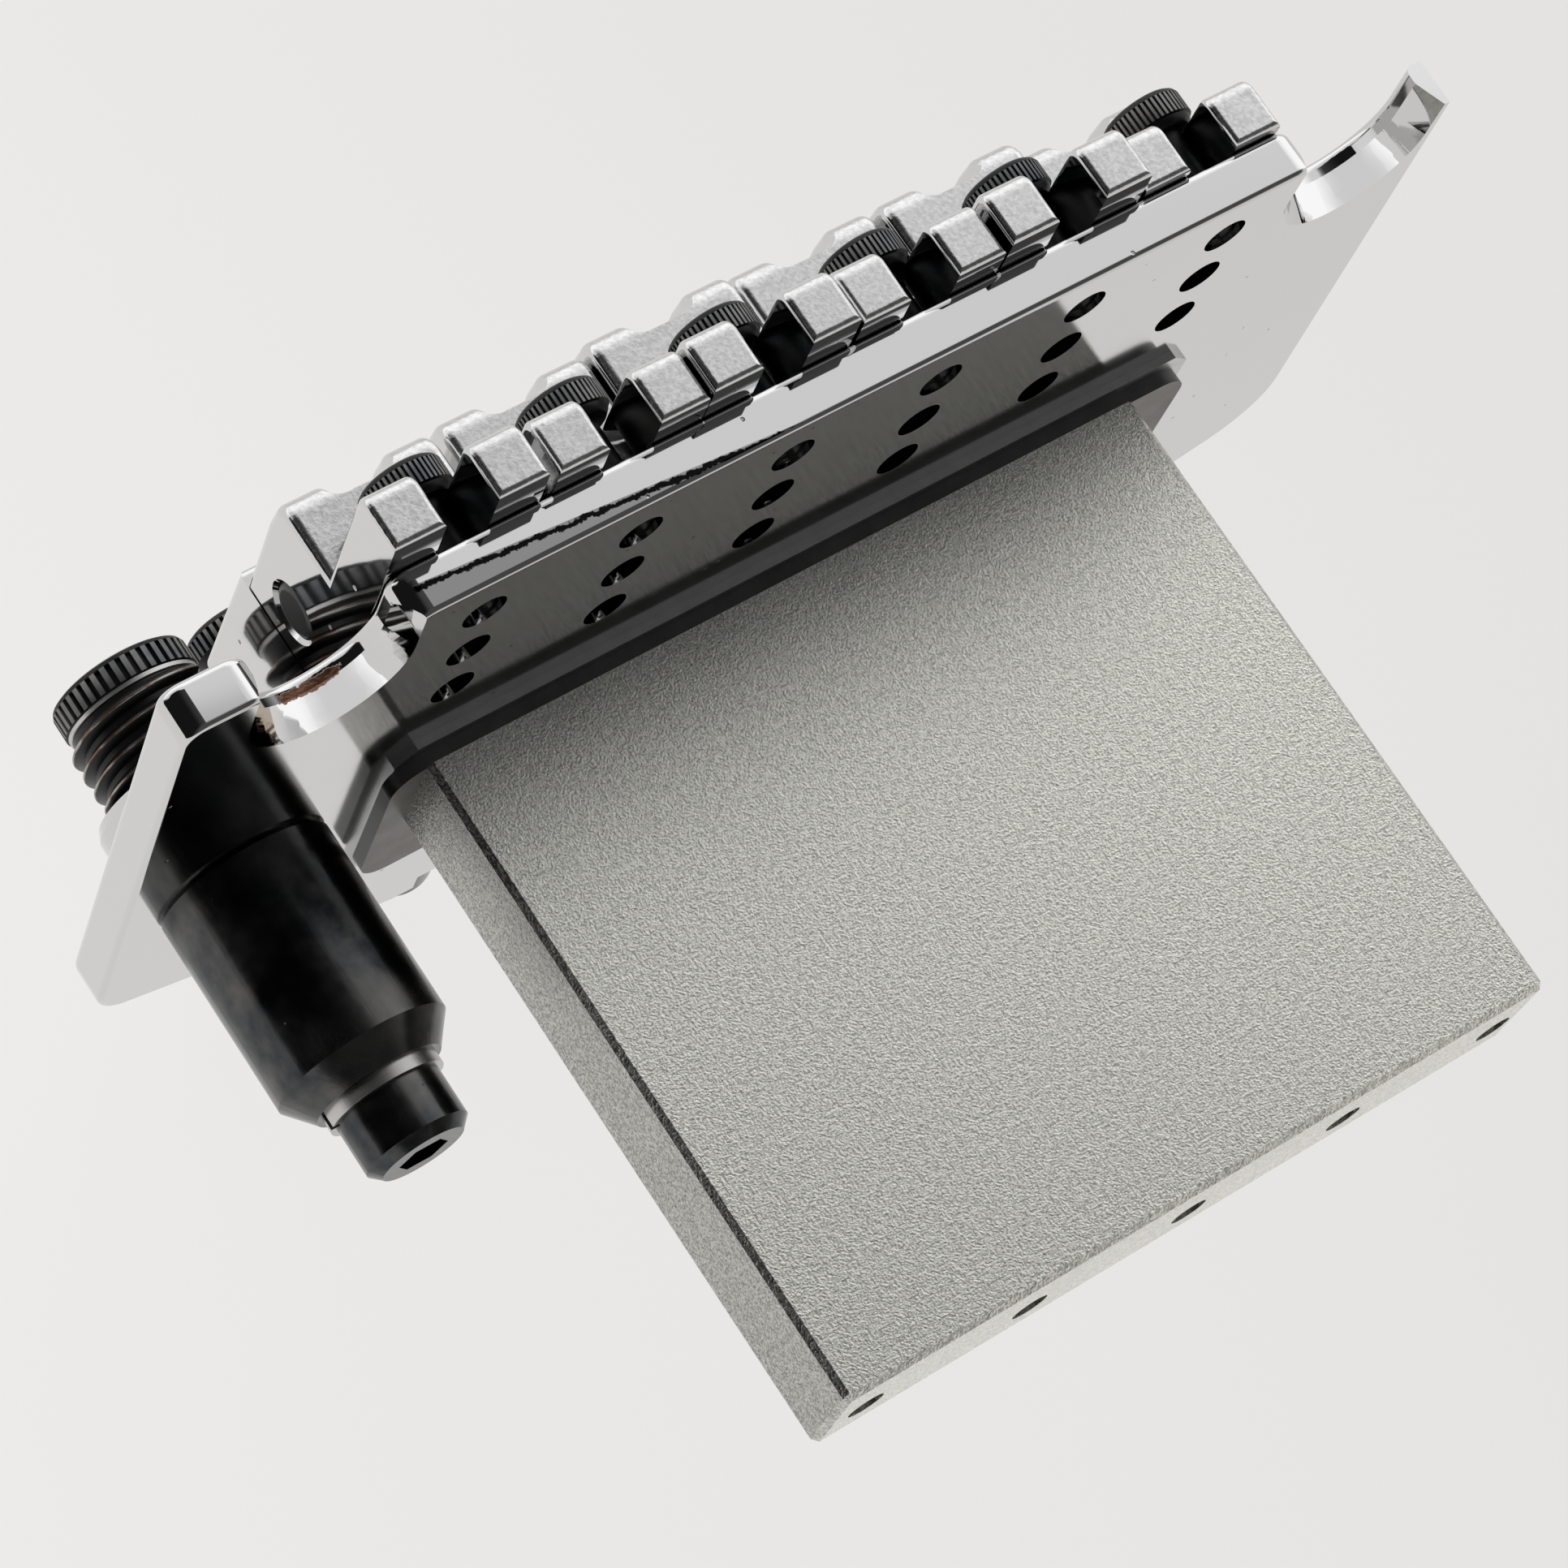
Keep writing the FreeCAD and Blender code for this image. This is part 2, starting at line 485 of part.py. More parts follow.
def make_base_plate():
    """Plate with knife edge notches, saddle holes, arm hole and the raised tuner bar."""
    body = new_body("base_plate")
    front = "Sizes.front_reach"
    rear = "-Sizes.rear_edge"
    ear = "-Sizes.ear_edge"
    treble = f"{ARM_X} + Sizes.treble_wing"
    treble_corner = (treble, "-Sizes.treble_rear")
    bass_corner = (f"-{STUD_X} - Sizes.bass_wing", "-Sizes.bass_rear")
    bass_tip = (f"-{STUD_X} - Sizes.bass_horn", f"{front} - Sizes.bass_tip_drop")
    sketch = new_sketch(body, "XY_Plane")
    outline(sketch, [(treble, front), (f"-{STUD_X}", front), bass_tip, bass_corner,
                     ("-Sizes.ear_outer", ear), ("-Sizes.ear_inner", ear), ("-Sizes.ear_inner", rear),
                     ("Sizes.ear_inner", rear), ("Sizes.ear_inner", ear), ("Sizes.ear_outer", ear),
                     treble_corner])
    pad(body, sketch, PLATE_TOP)
    fillet(body, "Sizes.treble_corner", upright_at(treble_corner))
    fillet(body, "Sizes.wing_round", upright_at((treble, front)))
    fillet(body, "Sizes.bass_corner", upright_at(bass_corner))

    mouth = f"{front} + Sizes.knife_radius"
    studs = (STUD_X, f"-{STUD_X}")
    for stud in studs:
        sketch = new_sketch(body, "XY_Plane")
        horseshoe(sketch, stud, "0", "Sizes.knife_radius", mouth)
        pocket(body, sketch)
    mouths = [(f"{studs[0]} + Sizes.knife_radius", front), (f"{studs[0]} - Sizes.knife_radius", front),
              (f"{studs[1]} + Sizes.knife_radius", front)]
    fillet(body, "Sizes.horn_round", upright_at(*mouths))
    fillet(body, "Sizes.edge_round", crossing_at((front, PLATE_TOP)))
    for stud in studs:
        low = new_sketch(body, "XY_Plane")
        horseshoe(low, stud, "0", "Sizes.knife_radius + Sizes.bevel_width", mouth)
        high = new_sketch(body, "XY_Plane", "Sizes.bevel_depth")
        horseshoe(high, stud, "0", "Sizes.knife_radius", mouth)
        bevel = body.newObject("PartDesign::SubtractiveLoft", "base_plate_bevel")
        bevel.Profile = low
        bevel.Sections = [high]
        bevel.Ruled = True
        doc.recompute()
    fillet(body, "Sizes.under_round", crossing_at((front, "0")))

    bar_front = "-Sizes.bar_front"
    bar_rear = "-Sizes.bar_front - Sizes.bar_depth"
    bar_side = f"({OUTER_STRING} + Sizes.bar_end)"
    bar_top = f"{PLATE_TOP} + Sizes.bar_height"
    sketch = new_sketch(body, "XY_Plane", PLATE_TOP)
    rectangle(sketch, f"Sizes.string_offset - {bar_side}", f"Sizes.string_offset + {bar_side}",
              bar_rear, bar_front)
    pad(body, sketch, "Sizes.bar_height")
    fillet(body, "Sizes.bar_round", level_at(bar_top))

    strings = [string_x(string) for string in range(1, STRINGS + 1)]
    windows = new_sketch(body, "XZ_Plane")
    for x in strings:
        rectangle(windows, f"{x} - Sizes.window_width / 2", f"{x} + Sizes.window_width / 2",
                  PLATE_TOP, f"{PLATE_TOP} + Sizes.window_height")
    pocket(body, windows)
    tuner_holes = new_sketch(body, "XY_Plane", f"{PLATE_TOP} + Sizes.window_height")
    for x in strings:
        circle(tuner_holes, x, TUNER_LINE, "Sizes.tuner_dia + 2 * Sizes.running_gap")
    pocket(body, tuner_holes, "Sizes.bar_height", upward=True)

    holes = new_sketch(body, "XY_Plane")
    for x in strings:
        for step in range(HOLE_ROWS):
            circle(holes, x, f"-Sizes.hole_row_pitch * {step}", "Sizes.hold_dia + 2 * Sizes.running_gap")
    circle(holes, ARM_X, "-Sizes.arm_setback", "Sizes.socket_dia + 2 * Sizes.running_gap")
    for index in range(BLOCK_SCREWS):
        circle(holes, block_screw_x(index), BLOCK_MIDDLE, "Sizes.block_screw_dia + 2 * Sizes.running_gap")
    pocket(body, holes)
    counterbores = new_sketch(body, "XY_Plane", PLATE_TOP)
    for index in range(BLOCK_SCREWS):
        circle(counterbores, block_screw_x(index), BLOCK_MIDDLE,
               "Sizes.block_head_dia + 2 * Sizes.running_gap")
    pocket(body, counterbores, "Sizes.block_head")
    spring_holes = new_sketch(body, "XY_Plane", PLATE_TOP)
    for x in strings:
        circle(spring_holes, x, spring_screw_y(), "Sizes.spring_screw_dia + 2 * Sizes.running_gap")
    pocket(body, spring_holes, "Sizes.spring_screw_length")
    return body


def block_screw_x(index):
    return f"Sizes.block_offset + Sizes.block_screw_pitch * {centred(BLOCK_SCREWS, index)}"


def spring_screw_y():
    return "-Sizes.spring_front - Sizes.spring_foot / 2"


def crest_of(kind):
    """Expression for a saddle's height: kind 1 is an outer saddle, 3 a middle one."""
    if kind == 1:
        return "Sizes.crest_height"
    return f"(Sizes.crest_height + Sizes.rise_{kind})"


def make_saddle(kind):
    """Forked foot, front wall with a string gap, two cheeks and the pivot pin's hole."""
    body = new_body(f"saddle_kind_{kind}")
    wall = "-Sizes.wall_setback"
    tip = "Sizes.foot_reach"
    crest = crest_of(kind)
    rear = "-Sizes.saddle_rear"
    side = new_sketch(body, "YZ_Plane")
    outline(side, [(tip, "0"), (tip, "Sizes.foot_thickness"), (wall, "Sizes.foot_thickness"),
                   (wall, crest), ("-Sizes.crest_slope", f"{crest} + Sizes.crest_rise"),
                   (rear, f"{crest} + Sizes.crest_rise"), (rear, "0")])
    pad(body, side, SADDLE_WIDTH, symmetric=True)
    fillet(body, "Sizes.crest_round", crossing_at((wall, crest)))
    fillet(body, "Sizes.prong_crown", crossing_at((tip, "Sizes.foot_thickness")))

    slot = new_sketch(body, "XY_Plane")
    horseshoe(slot, "0", "Sizes.fork_slot / 2 - Sizes.slot_end", "Sizes.fork_slot / 2",
              f"{tip} + Sizes.fork_slot")
    pocket(body, slot, "Sizes.foot_thickness", upward=True)

    pocket_front = f"{wall} - Sizes.web_thickness"
    web = f"{crest} - Sizes.web_drop"
    above = f"{crest} + Sizes.crest_rise + Sizes.crest_round"
    gap = new_sketch(body, "YZ_Plane")
    outline(gap, [(f"{wall} + Sizes.web_thickness", web), (pocket_front, web),
                  (pocket_front, "Sizes.cheek_floor"), (f"{rear} - Sizes.seam", "Sizes.cheek_floor"),
                  (f"{rear} - Sizes.seam", above), (f"{wall} + Sizes.web_thickness", above)])
    slot_cut(body, gap, "Sizes.cheek_gap")
    pin_hole = new_sketch(body, "YZ_Plane")
    circle(pin_hole, "-Sizes.pin_setback", "Sizes.pin_height", "Sizes.pin_dia")
    pocket(body, pin_hole)
    flank = value(f"{SADDLE_WIDTH} / 2")
    on_flank = lambda edge: abs(abs(edge.BoundBox.Center.x) - flank) < NEAR and edge.BoundBox.XLength < NEAR
    chamfer(body, "Sizes.pin_rim", lambda edge: on_flank(edge) and edge.Closed)
    crest_low = value(f"{crest} - Sizes.crest_round") - NEAR
    inner = value("Sizes.cheek_gap / 2")
    fillet(body, "Sizes.gap_round",
           lambda edge: abs(abs(edge.BoundBox.Center.x) - inner) < NEAR and edge.BoundBox.ZMin > crest_low)
    fillet(body, "Sizes.cheek_round", lambda edge: on_flank(edge) and edge.BoundBox.ZMin > crest_low)
    front = value(tip)
    crown_low = value("Sizes.foot_thickness - Sizes.prong_crown")
    fillet(body, "Sizes.prong_round",
           lambda edge: max(abs(edge.BoundBox.YMin - front), abs(edge.BoundBox.YMax - front)) < NEAR
           and edge.BoundBox.ZMin < crown_low - NEAR)
    return body


def make_pin():
    """Plain pivot pin along X, through the saddle's cheeks and the lever's tongue."""
    body = new_body("pivot_pin")
    sketch = new_sketch(body, "YZ_Plane")
    circle(sketch, "-Sizes.pin_setback", "Sizes.pin_height", "Sizes.pin_dia")
    pad(body, sketch, f"{SADDLE_WIDTH} - 2 * Sizes.pin_recess", symmetric=True)
    fillet(body, "Sizes.pin_round", lambda edge: edge.BoundBox.XLength < NEAR)
    return body


def make_lever(kind):
    """Tongue with the string rest, body with the clamping pocket, and the tail under the bar."""
    body = new_body(f"lever_kind_{kind}")
    rest = f"{crest_of(kind)} + Sizes.nose_rise"
    top = f"{crest_of(kind)} + Sizes.lever_rise"
    nose = "-Sizes.wall_setback - Sizes.web_thickness - Sizes.nose_gap"
    under_nose = "Sizes.cheek_floor + Sizes.tongue_lift"
    overlap = f"{SEAM_REAR} - Sizes.clamp_wall / 2"
    main = new_sketch(body, "YZ_Plane")
    outline(main, [(TAIL_FRONT, "Sizes.lever_lift"), (SEAM_REAR, "Sizes.lever_lift"), (SEAM_REAR, top),
                   (TAIL_FRONT, f"{top} + Sizes.lever_slope")])
    pad(body, main, SADDLE_WIDTH, symmetric=True)
    top_low = value(top) - NEAR
    fillet(body, "Sizes.lever_round", lambda edge: edge.BoundBox.ZMin > top_low)
    tongue = new_sketch(body, "YZ_Plane")
    outline(tongue, [(nose, under_nose), (nose, rest),
                     ("-Sizes.pin_setback", rest),
                     (SEAM_REAR, f"{top} - 2 * Sizes.lever_round"),
                     (overlap, f"{top} - 2 * Sizes.lever_round"), (overlap, under_nose)])
    pad(body, tongue, "Sizes.cheek_gap - 2 * Sizes.side_gap", symmetric=True)
    fillet(body, "Sizes.nose_round", crossing_at((nose, rest)))

    tail = new_sketch(body, "YZ_Plane")
    rectangle(tail, f"{TAIL_FRONT} - Sizes.tail_length", f"{TAIL_FRONT} + Sizes.clamp_floor",
              "Sizes.lever_lift", "Sizes.tail_height")
    pad(body, tail, "Sizes.tail_width", symmetric=True)

    clamp = new_sketch(body, "YZ_Plane")
    rectangle(clamp, f"{CLAMP_FRONT} - Sizes.clamp_length", CLAMP_FRONT, CLAMP_FLOOR,
              f"{top} + Sizes.lever_slope + Sizes.clamp_floor")
    slot_cut(body, clamp, "Sizes.clamp_width")
    groove = new_sketch(body, "YZ_Plane")
    rectangle(groove, f"{CLAMP_FRONT} - Sizes.string_gap / 2", f"{nose} + Sizes.nose_gap",
              f"{rest} - Sizes.groove_depth", f"{top} + Sizes.lever_slope")
    slot_cut(body, groove, "Sizes.groove_width")
    bore = new_sketch(body, "XZ_Plane", f"-({CLAMP_FRONT} - Sizes.clamp_length / 2)")
    circle(bore, "0", LOCK_HEIGHT, "Sizes.lock_dia + 2 * Sizes.running_gap")
    pocket(body, bore, "Sizes.clamp_length + Sizes.lever_length + Sizes.tail_length", upward=True)
    pin_hole = new_sketch(body, "YZ_Plane")
    circle(pin_hole, "-Sizes.pin_setback", "Sizes.pin_height", "Sizes.pin_dia + 2 * Sizes.running_gap")
    pocket(body, pin_hole)
    return body


def make_insert():
    """Clamping insert that the lock screw drives against the string."""
    body = new_body("clamp_insert")
    front = f"{CLAMP_FRONT} - Sizes.string_gap"
    base = f"{CLAMP_FLOOR} + Sizes.insert_gap"
    top = f"{base} + Sizes.insert_height"
    bevel = "Sizes.insert_chamfer"
    sketch = new_sketch(body, "YZ_Plane")
    outline(sketch, [(front, base), (front, f"{top} - {bevel}"), (f"{front} - {bevel}", top),
                     (f"{INSERT_REAR} + {bevel}", top), (INSERT_REAR, f"{top} - {bevel}"),
                     (INSERT_REAR, base)])
    pad(body, sketch, "Sizes.clamp_width - 2 * Sizes.insert_gap", symmetric=True)
    return body


def make_lock_screw():
    """Long socket screw along the string; its tip bears on the insert."""
    body = new_body("lock_screw")
    tip = f"{INSERT_REAR} - Sizes.insert_gap"
    seat = f"{tip} - Sizes.lock_length"
    end = f"{seat} - Sizes.lock_head"
    bevel = "Sizes.head_chamfer"
    sketch = new_sketch(body, "XY_Plane", LOCK_HEIGHT)
    thread = "Sizes.lock_dia / 2"
    head = "Sizes.lock_head_dia / 2"
    outline(sketch, [("0", tip), (f"{thread} - {bevel}", tip), (thread, f"{tip} - {bevel}"), (thread, seat),
                     (head, seat), (head, f"{end} + {bevel}"), (f"{head} - {bevel}", end), ("0", end)])
    feature = body.newObject("PartDesign::Revolution", "lock_screw_turn")
    feature.Profile = sketch
    feature.ReferenceAxis = (sketch, ["V_Axis"])
    feature.Angle = 360
    doc.recompute()
    key = new_sketch(body, "XZ_Plane", f"-({end})")
    hexagon(key, "Sizes.lock_key", "0", LOCK_HEIGHT)
    pocket(body, key, "Sizes.socket_depth * 2")
    return body


def make_fine_tuner():
    """Thumb screw through the tuner bar; its tip bears on the lever's tail."""
    tip = f"{PLATE_TOP} + Sizes.tail_height + Sizes.tuner_gap"
    under = f"{PLATE_TOP} + Sizes.bar_height + Sizes.tuner_rise"
    top = f"{under} + Sizes.tuner_head"
    rim = "Sizes.tuner_head_dia / 2"
    bevel = "Sizes.head_chamfer"
    return turned("fine_tuner", [
        ("0", tip), ("Sizes.tuner_tip_dia / 2", tip), ("Sizes.tuner_dia / 2", f"{tip} + Sizes.tuner_tip"),
        ("Sizes.tuner_dia / 2", under), (f"{rim} - 2 * {bevel}", under), (rim, f"{under} + 2 * {bevel}"),
        (rim, f"{top} - {bevel}"), (f"{rim} - {bevel}", top), (f"{rim} - 3 * {bevel}", top),
        (f"{rim} - 4 * {bevel}", f"{top} - Sizes.tuner_dish"), ("0", f"{top} - Sizes.tuner_dish")])


def make_leaf_spring():
    """Flat foot screwed to the plate and a finger that rises to the lever's underside."""
    body = new_body("leaf_spring")
    front = "-Sizes.spring_front"
    bend = f"{front} - Sizes.spring_foot"
    end = f"{bend} - Sizes.spring_reach"
    thick = "Sizes.spring_thickness"
    finger = "Sizes.lever_lift - Sizes.spring_gap"
    sketch = new_sketch(body, "YZ_Plane")
    outline(sketch, [(front, "0"), (front, thick), (bend, thick), (end, finger),
                     (end, f"{finger} - {thick}"), (bend, "0")])
    pad(body, sketch, "Sizes.spring_width", symmetric=True)
    hole = new_sketch(body, "XY_Plane")
    circle(hole, "0", spring_screw_y(), "Sizes.spring_screw_dia + 2 * Sizes.running_gap")
    pocket(body, hole)
    return body


def make_shim():
    """Thin sheared plate against the underside of the base plate."""
    body = new_body("block_shim")
    half = "Sizes.shim_width / 2"
    left = f"Sizes.shim_offset - {half}"
    right = f"Sizes.shim_offset + {half}"
    front = "-Sizes.shim_front"
    rear = "-Sizes.shim_front - Sizes.shim_depth"
    sketch = new_sketch(body, "XY_Plane", "-Sizes.shim_thickness")
    rectangle(sketch, left, right, rear, front)
    pad(body, sketch, "Sizes.shim_thickness")
    chamfer(body, "Sizes.shim_chamfer", upright_at((left, front), (right, front)))
    drill_for_block_screws(body)
    return body


def make_spacer():
    """Dark plate with rounded corners between shim and block."""
    body = new_body("block_spacer")
    half = "Sizes.spacer_width / 2"
    left = f"Sizes.spacer_offset - {half}"
    right = f"Sizes.spacer_offset + {half}"
    front = "-Sizes.shim_front - Sizes.spacer_inset"
    rear = f"{front} - Sizes.spacer_depth"
    sketch = new_sketch(body, "XY_Plane", BLOCK_TOP)
    rectangle(sketch, left, right, rear, front)
    pad(body, sketch, "Sizes.spacer_thickness")
    fillet(body, "Sizes.spacer_round", upright_at((left, front), (right, front), (left, rear), (right, rear)))
    drill_for_block_screws(body)
    return body


def drill_for_block_screws(body):
    holes = new_sketch(body, "XY_Plane")
    for index in range(BLOCK_SCREWS):
        circle(holes, block_screw_x(index), BLOCK_MIDDLE, "Sizes.block_screw_dia + 2 * Sizes.running_gap")
    pocket(body, holes)


def make_block():
    """Sustain block with the hook holes for the tremolo springs in its lower end."""
    body = new_body("sustain_block")
    half = "Sizes.block_width / 2"
    front = "-Sizes.block_front"
    bottom = f"{BLOCK_TOP} - Sizes.block_height"
    sketch = new_sketch(body, "XY_Plane", bottom)
    rectangle(sketch, f"Sizes.block_offset - {half}", f"Sizes.block_offset + {half}",
              f"{front} - Sizes.block_thickness", front)
    pad(body, sketch, "Sizes.block_height")
    chamfer(body, "Sizes.block_chamfer", lambda edge: edge.BoundBox.ZMin < value(BLOCK_TOP) - NEAR)
    for index in range(SPRING_HOLES):
        hook = new_sketch(body, "XY_Plane", bottom)
        circle(hook, f"Sizes.spring_hole_offset + Sizes.spring_hole_pitch * {centred(SPRING_HOLES, index)}",
               f"{front} - Sizes.spring_hole_setback", "Sizes.spring_hole_dia")
        pocket(body, hook, f"Sizes.spring_hole_depth + Sizes.spring_hole_step * {index}", upward=True)
    threads = new_sketch(body, "XY_Plane", BLOCK_TOP)
    for index in range(BLOCK_SCREWS):
        circle(threads, block_screw_x(index), BLOCK_MIDDLE, "Sizes.block_screw_dia + 2 * Sizes.running_gap")
    pocket(body, threads, "Sizes.block_screw_length")
    return body


def make_arm_socket():
    """Threaded tube through the treble wing, bored for the arm from above."""
    top = f"{PLATE_TOP} + Sizes.socket_height"
    wall = "Sizes.socket_dia / 2"
    seat = f"{top} - Sizes.spigot_length - Sizes.running_gap"
    spigot = "Sizes.spigot_dia / 2 + Sizes.running_gap"
    screw = "Sizes.cap_dia / 2 + Sizes.running_gap"
    screw_end = "-Sizes.sleeve_length - Sizes.washer_thickness + Sizes.cap_length + Sizes.running_gap"
    return turned("arm_socket", [
        (screw, SOCKET_FOOT), (wall, SOCKET_FOOT), (wall, top), (spigot, top), (spigot, seat),
        ("Sizes.arm_bore_dia / 2", seat), ("Sizes.arm_bore_dia / 2", "-Sizes.arm_bore_floor"),
        ("0", "-Sizes.arm_bore_floor"), ("0", screw_end), (screw, screw_end)])


def make_torque_collar():
    """Knurled collar whose spigot turns in the top of the socket tube."""
    seat = f"{PLATE_TOP} + Sizes.socket_height"
    top = f"{seat} + Sizes.collar_height"
    rim = "Sizes.collar_dia / 2"
    bevel = "Sizes.head_chamfer"
    bore = "Sizes.collar_bore_dia / 2"
    return turned("torque_collar", [
        (bore, f"{seat} - Sizes.spigot_length"), ("Sizes.spigot_dia / 2", f"{seat} - Sizes.spigot_length"),
        ("Sizes.spigot_dia / 2", seat), (f"{rim} - {bevel}", seat), (rim, f"{seat} + {bevel}"),
        (rim, f"{top} - {bevel}"), (f"{rim} - {bevel}", top), (bore, top)])


def make_arm_nut():
    """Round nut that holds the socket tube from above."""
    top = f"{PLATE_TOP} + Sizes.nut_height"
    bore = "Sizes.socket_dia / 2 + Sizes.running_gap"
    rim = "(Sizes.socket_dia / 2 + Sizes.nut_wall)"
    return turned("arm_nut", [
        (bore, PLATE_TOP), (rim, PLATE_TOP), (rim, f"{top} - Sizes.nut_taper"),
        (f"{rim} - Sizes.nut_taper * 0.3", f"{top} - Sizes.nut_taper * 0.3"),
        (f"{rim} - Sizes.nut_taper", top), (bore, top)])


def make_lock_sleeve():
    """Sleeve that clamps the socket tube from under the wing, with a tapered end."""
    bottom = "-Sizes.sleeve_length"
    bore = "Sizes.socket_dia / 2 + Sizes.running_gap"
    floor = f"{bottom} + Sizes.sleeve_floor"
    screw = "Sizes.cap_dia / 2 + Sizes.running_gap"
    return turned("lock_sleeve", [
        (bore, "0"), (f"{SLEEVE_RADIUS} - Sizes.sleeve_edge", "0"), (SLEEVE_RADIUS, "-Sizes.sleeve_edge"),
        (SLEEVE_RADIUS, f"{bottom} + Sizes.sleeve_taper"), (f"{SLEEVE_RADIUS} - Sizes.sleeve_shrink", bottom),
        (screw, bottom), (screw, floor), (bore, floor)])


def make_lock_washer():
    """Split spring washer under the cap screw's head."""
    top = "-Sizes.sleeve_length"
    bottom = f"{top} - Sizes.washer_thickness"
    body = turned("lock_washer", [
        ("Sizes.washer_bore_dia / 2", bottom), ("Sizes.washer_dia / 2", bottom),
        ("Sizes.washer_dia / 2", top), ("Sizes.washer_bore_dia / 2", top)])
    split = new_sketch(body, "XY_Plane")
    rectangle(split, "0", "Sizes.washer_dia", "-Sizes.washer_split / 2", "Sizes.washer_split / 2")
    pocket(body, split)
    return body


def make_cap_screw():
    """Socket head cap screw in the lower end of the arm socket, head downwards."""
    seat = "-Sizes.sleeve_length - Sizes.washer_thickness"
    end = f"{seat} - Sizes.cap_head"
    bevel = "Sizes.cap_bevel"
    head = "Sizes.cap_head_dia / 2"
    body = turned("cap_screw", [
        ("0", end), (f"{head} - {bevel}", end), (head, f"{end} + {bevel}"), (head, seat),
        ("Sizes.cap_dia / 2", seat), ("Sizes.cap_dia / 2", f"{seat} + Sizes.cap_length"),
        ("0", f"{seat} + Sizes.cap_length")])
    key = new_sketch(body, "XY_Plane", end)
    hexagon(key, "Sizes.cap_key")
    pocket(body, key, "Sizes.socket_depth * 2", upward=True)
    return body


def make_string_sets():
    """Saddle, pin, lever, insert, lock screw, tuner and leaf spring for every string."""
    saddles = {kind: make_saddle(kind) for kind in range(1, STRINGS // 2 + 1)}
    levers = {kind: make_lever(kind) for kind in saddles}
    pin = make_pin()
    insert = make_insert()
    lock_screw = make_lock_screw()
    tuner = make_fine_tuner()
    spring = make_leaf_spring()
    nodes = []
    for string in range(1, STRINGS + 1):
        x = string_x(string)
        kind = min(string, STRINGS + 1 - string)
        riding = {"saddle": saddles[kind], "pivot_pin": pin, "lever": levers[kind], "clamp_insert": insert,
                  "lock_screw": lock_screw}
        for name, master in riding.items():
            nodes.append(copy_of(master, f"{name}_{string}", f"{x} + Sizes.play_{string}",
                                 f"Sizes.setback_{string}", PLATE_TOP))
        nodes.append(copy_of(tuner, f"fine_tuner_{string}", x, TUNER_LINE, "0"))
        nodes.append(copy_of(spring, f"leaf_spring_{string}", x, "0", PLATE_TOP))
    return nodes


def make_screw_groups():
    """Like screws that share a node."""
    strings = [string_x(string) for string in range(1, STRINGS + 1)]
    seat = f"{PLATE_TOP} + Sizes.foot_thickness"
    hold_down = socket_screw("hold_down_screw", "Sizes.hold_dia", f"({seat} - Sizes.hold_tip_inset)",
                             "Sizes.hold_head_dia", "Sizes.hold_head", "Sizes.hold_key", "Sizes.hold_bevel")
    block_screw = socket_screw("block_screw", "Sizes.block_screw_dia", "Sizes.block_screw_length",
                               "Sizes.block_head_dia", "Sizes.block_head", "Sizes.block_key")
    spring_screw = turned("spring_screw", [
        ("0", "-Sizes.spring_screw_length"), ("Sizes.spring_screw_dia / 2", "-Sizes.spring_screw_length"),
        ("Sizes.spring_screw_dia / 2", "0"), ("Sizes.spring_head_dia / 2", "0"),
        ("Sizes.spring_head_dia / 2 - Sizes.head_chamfer", "Sizes.spring_head"), ("0", "Sizes.spring_head")])
    return [
        group_of(hold_down, "hold_down_screws", [(x, "0", seat) for x in strings]),
        group_of(block_screw, "block_screws", [(block_screw_x(index), BLOCK_MIDDLE,
                                                f"{PLATE_TOP} - Sizes.block_head")
                                               for index in range(BLOCK_SCREWS)]),
        group_of(spring_screw, "spring_screws", [(x, spring_screw_y(), f"{PLATE_TOP} + Sizes.spring_thickness")
                                                 for x in strings]),
    ]


def make_arm_parts():
    """Pieces on the arm's axis in the treble wing."""
    parts = [make_arm_socket(), make_torque_collar(), make_arm_nut(), make_lock_sleeve(),
             make_lock_washer(), make_cap_screw()]
    return [place(part, ARM_X, "-Sizes.arm_setback", "0") for part in parts]


nodes = [make_base_plate(), make_shim(), make_spacer(), make_block()]
nodes += make_screw_groups()
nodes += make_string_sets()
nodes += make_arm_parts()
doc.recompute()

for item in doc.Objects:
    if "Invalid" in item.State or "Error" in item.State:
        raise RuntimeError(f"{item.Label} failed: {item.State}")
for node in nodes:
    if node.Shape.isNull() or not node.Shape.isValid():
        raise RuntimeError(f"{node.Label} has no valid shape")

os.makedirs("parts", exist_ok=True)
for node in nodes:
    node.Shape.exportStep(f"parts/{node.Label}.step")
print(f"{len(nodes)} nodes, {sum(len(node.Shape.Solids) for node in nodes)} solids")
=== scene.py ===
"""Looks of a double-locking guitar tremolo bridge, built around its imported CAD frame, in metres."""
import math

import bmesh
import bpy
from mathutils import Matrix, Quaternion, Vector


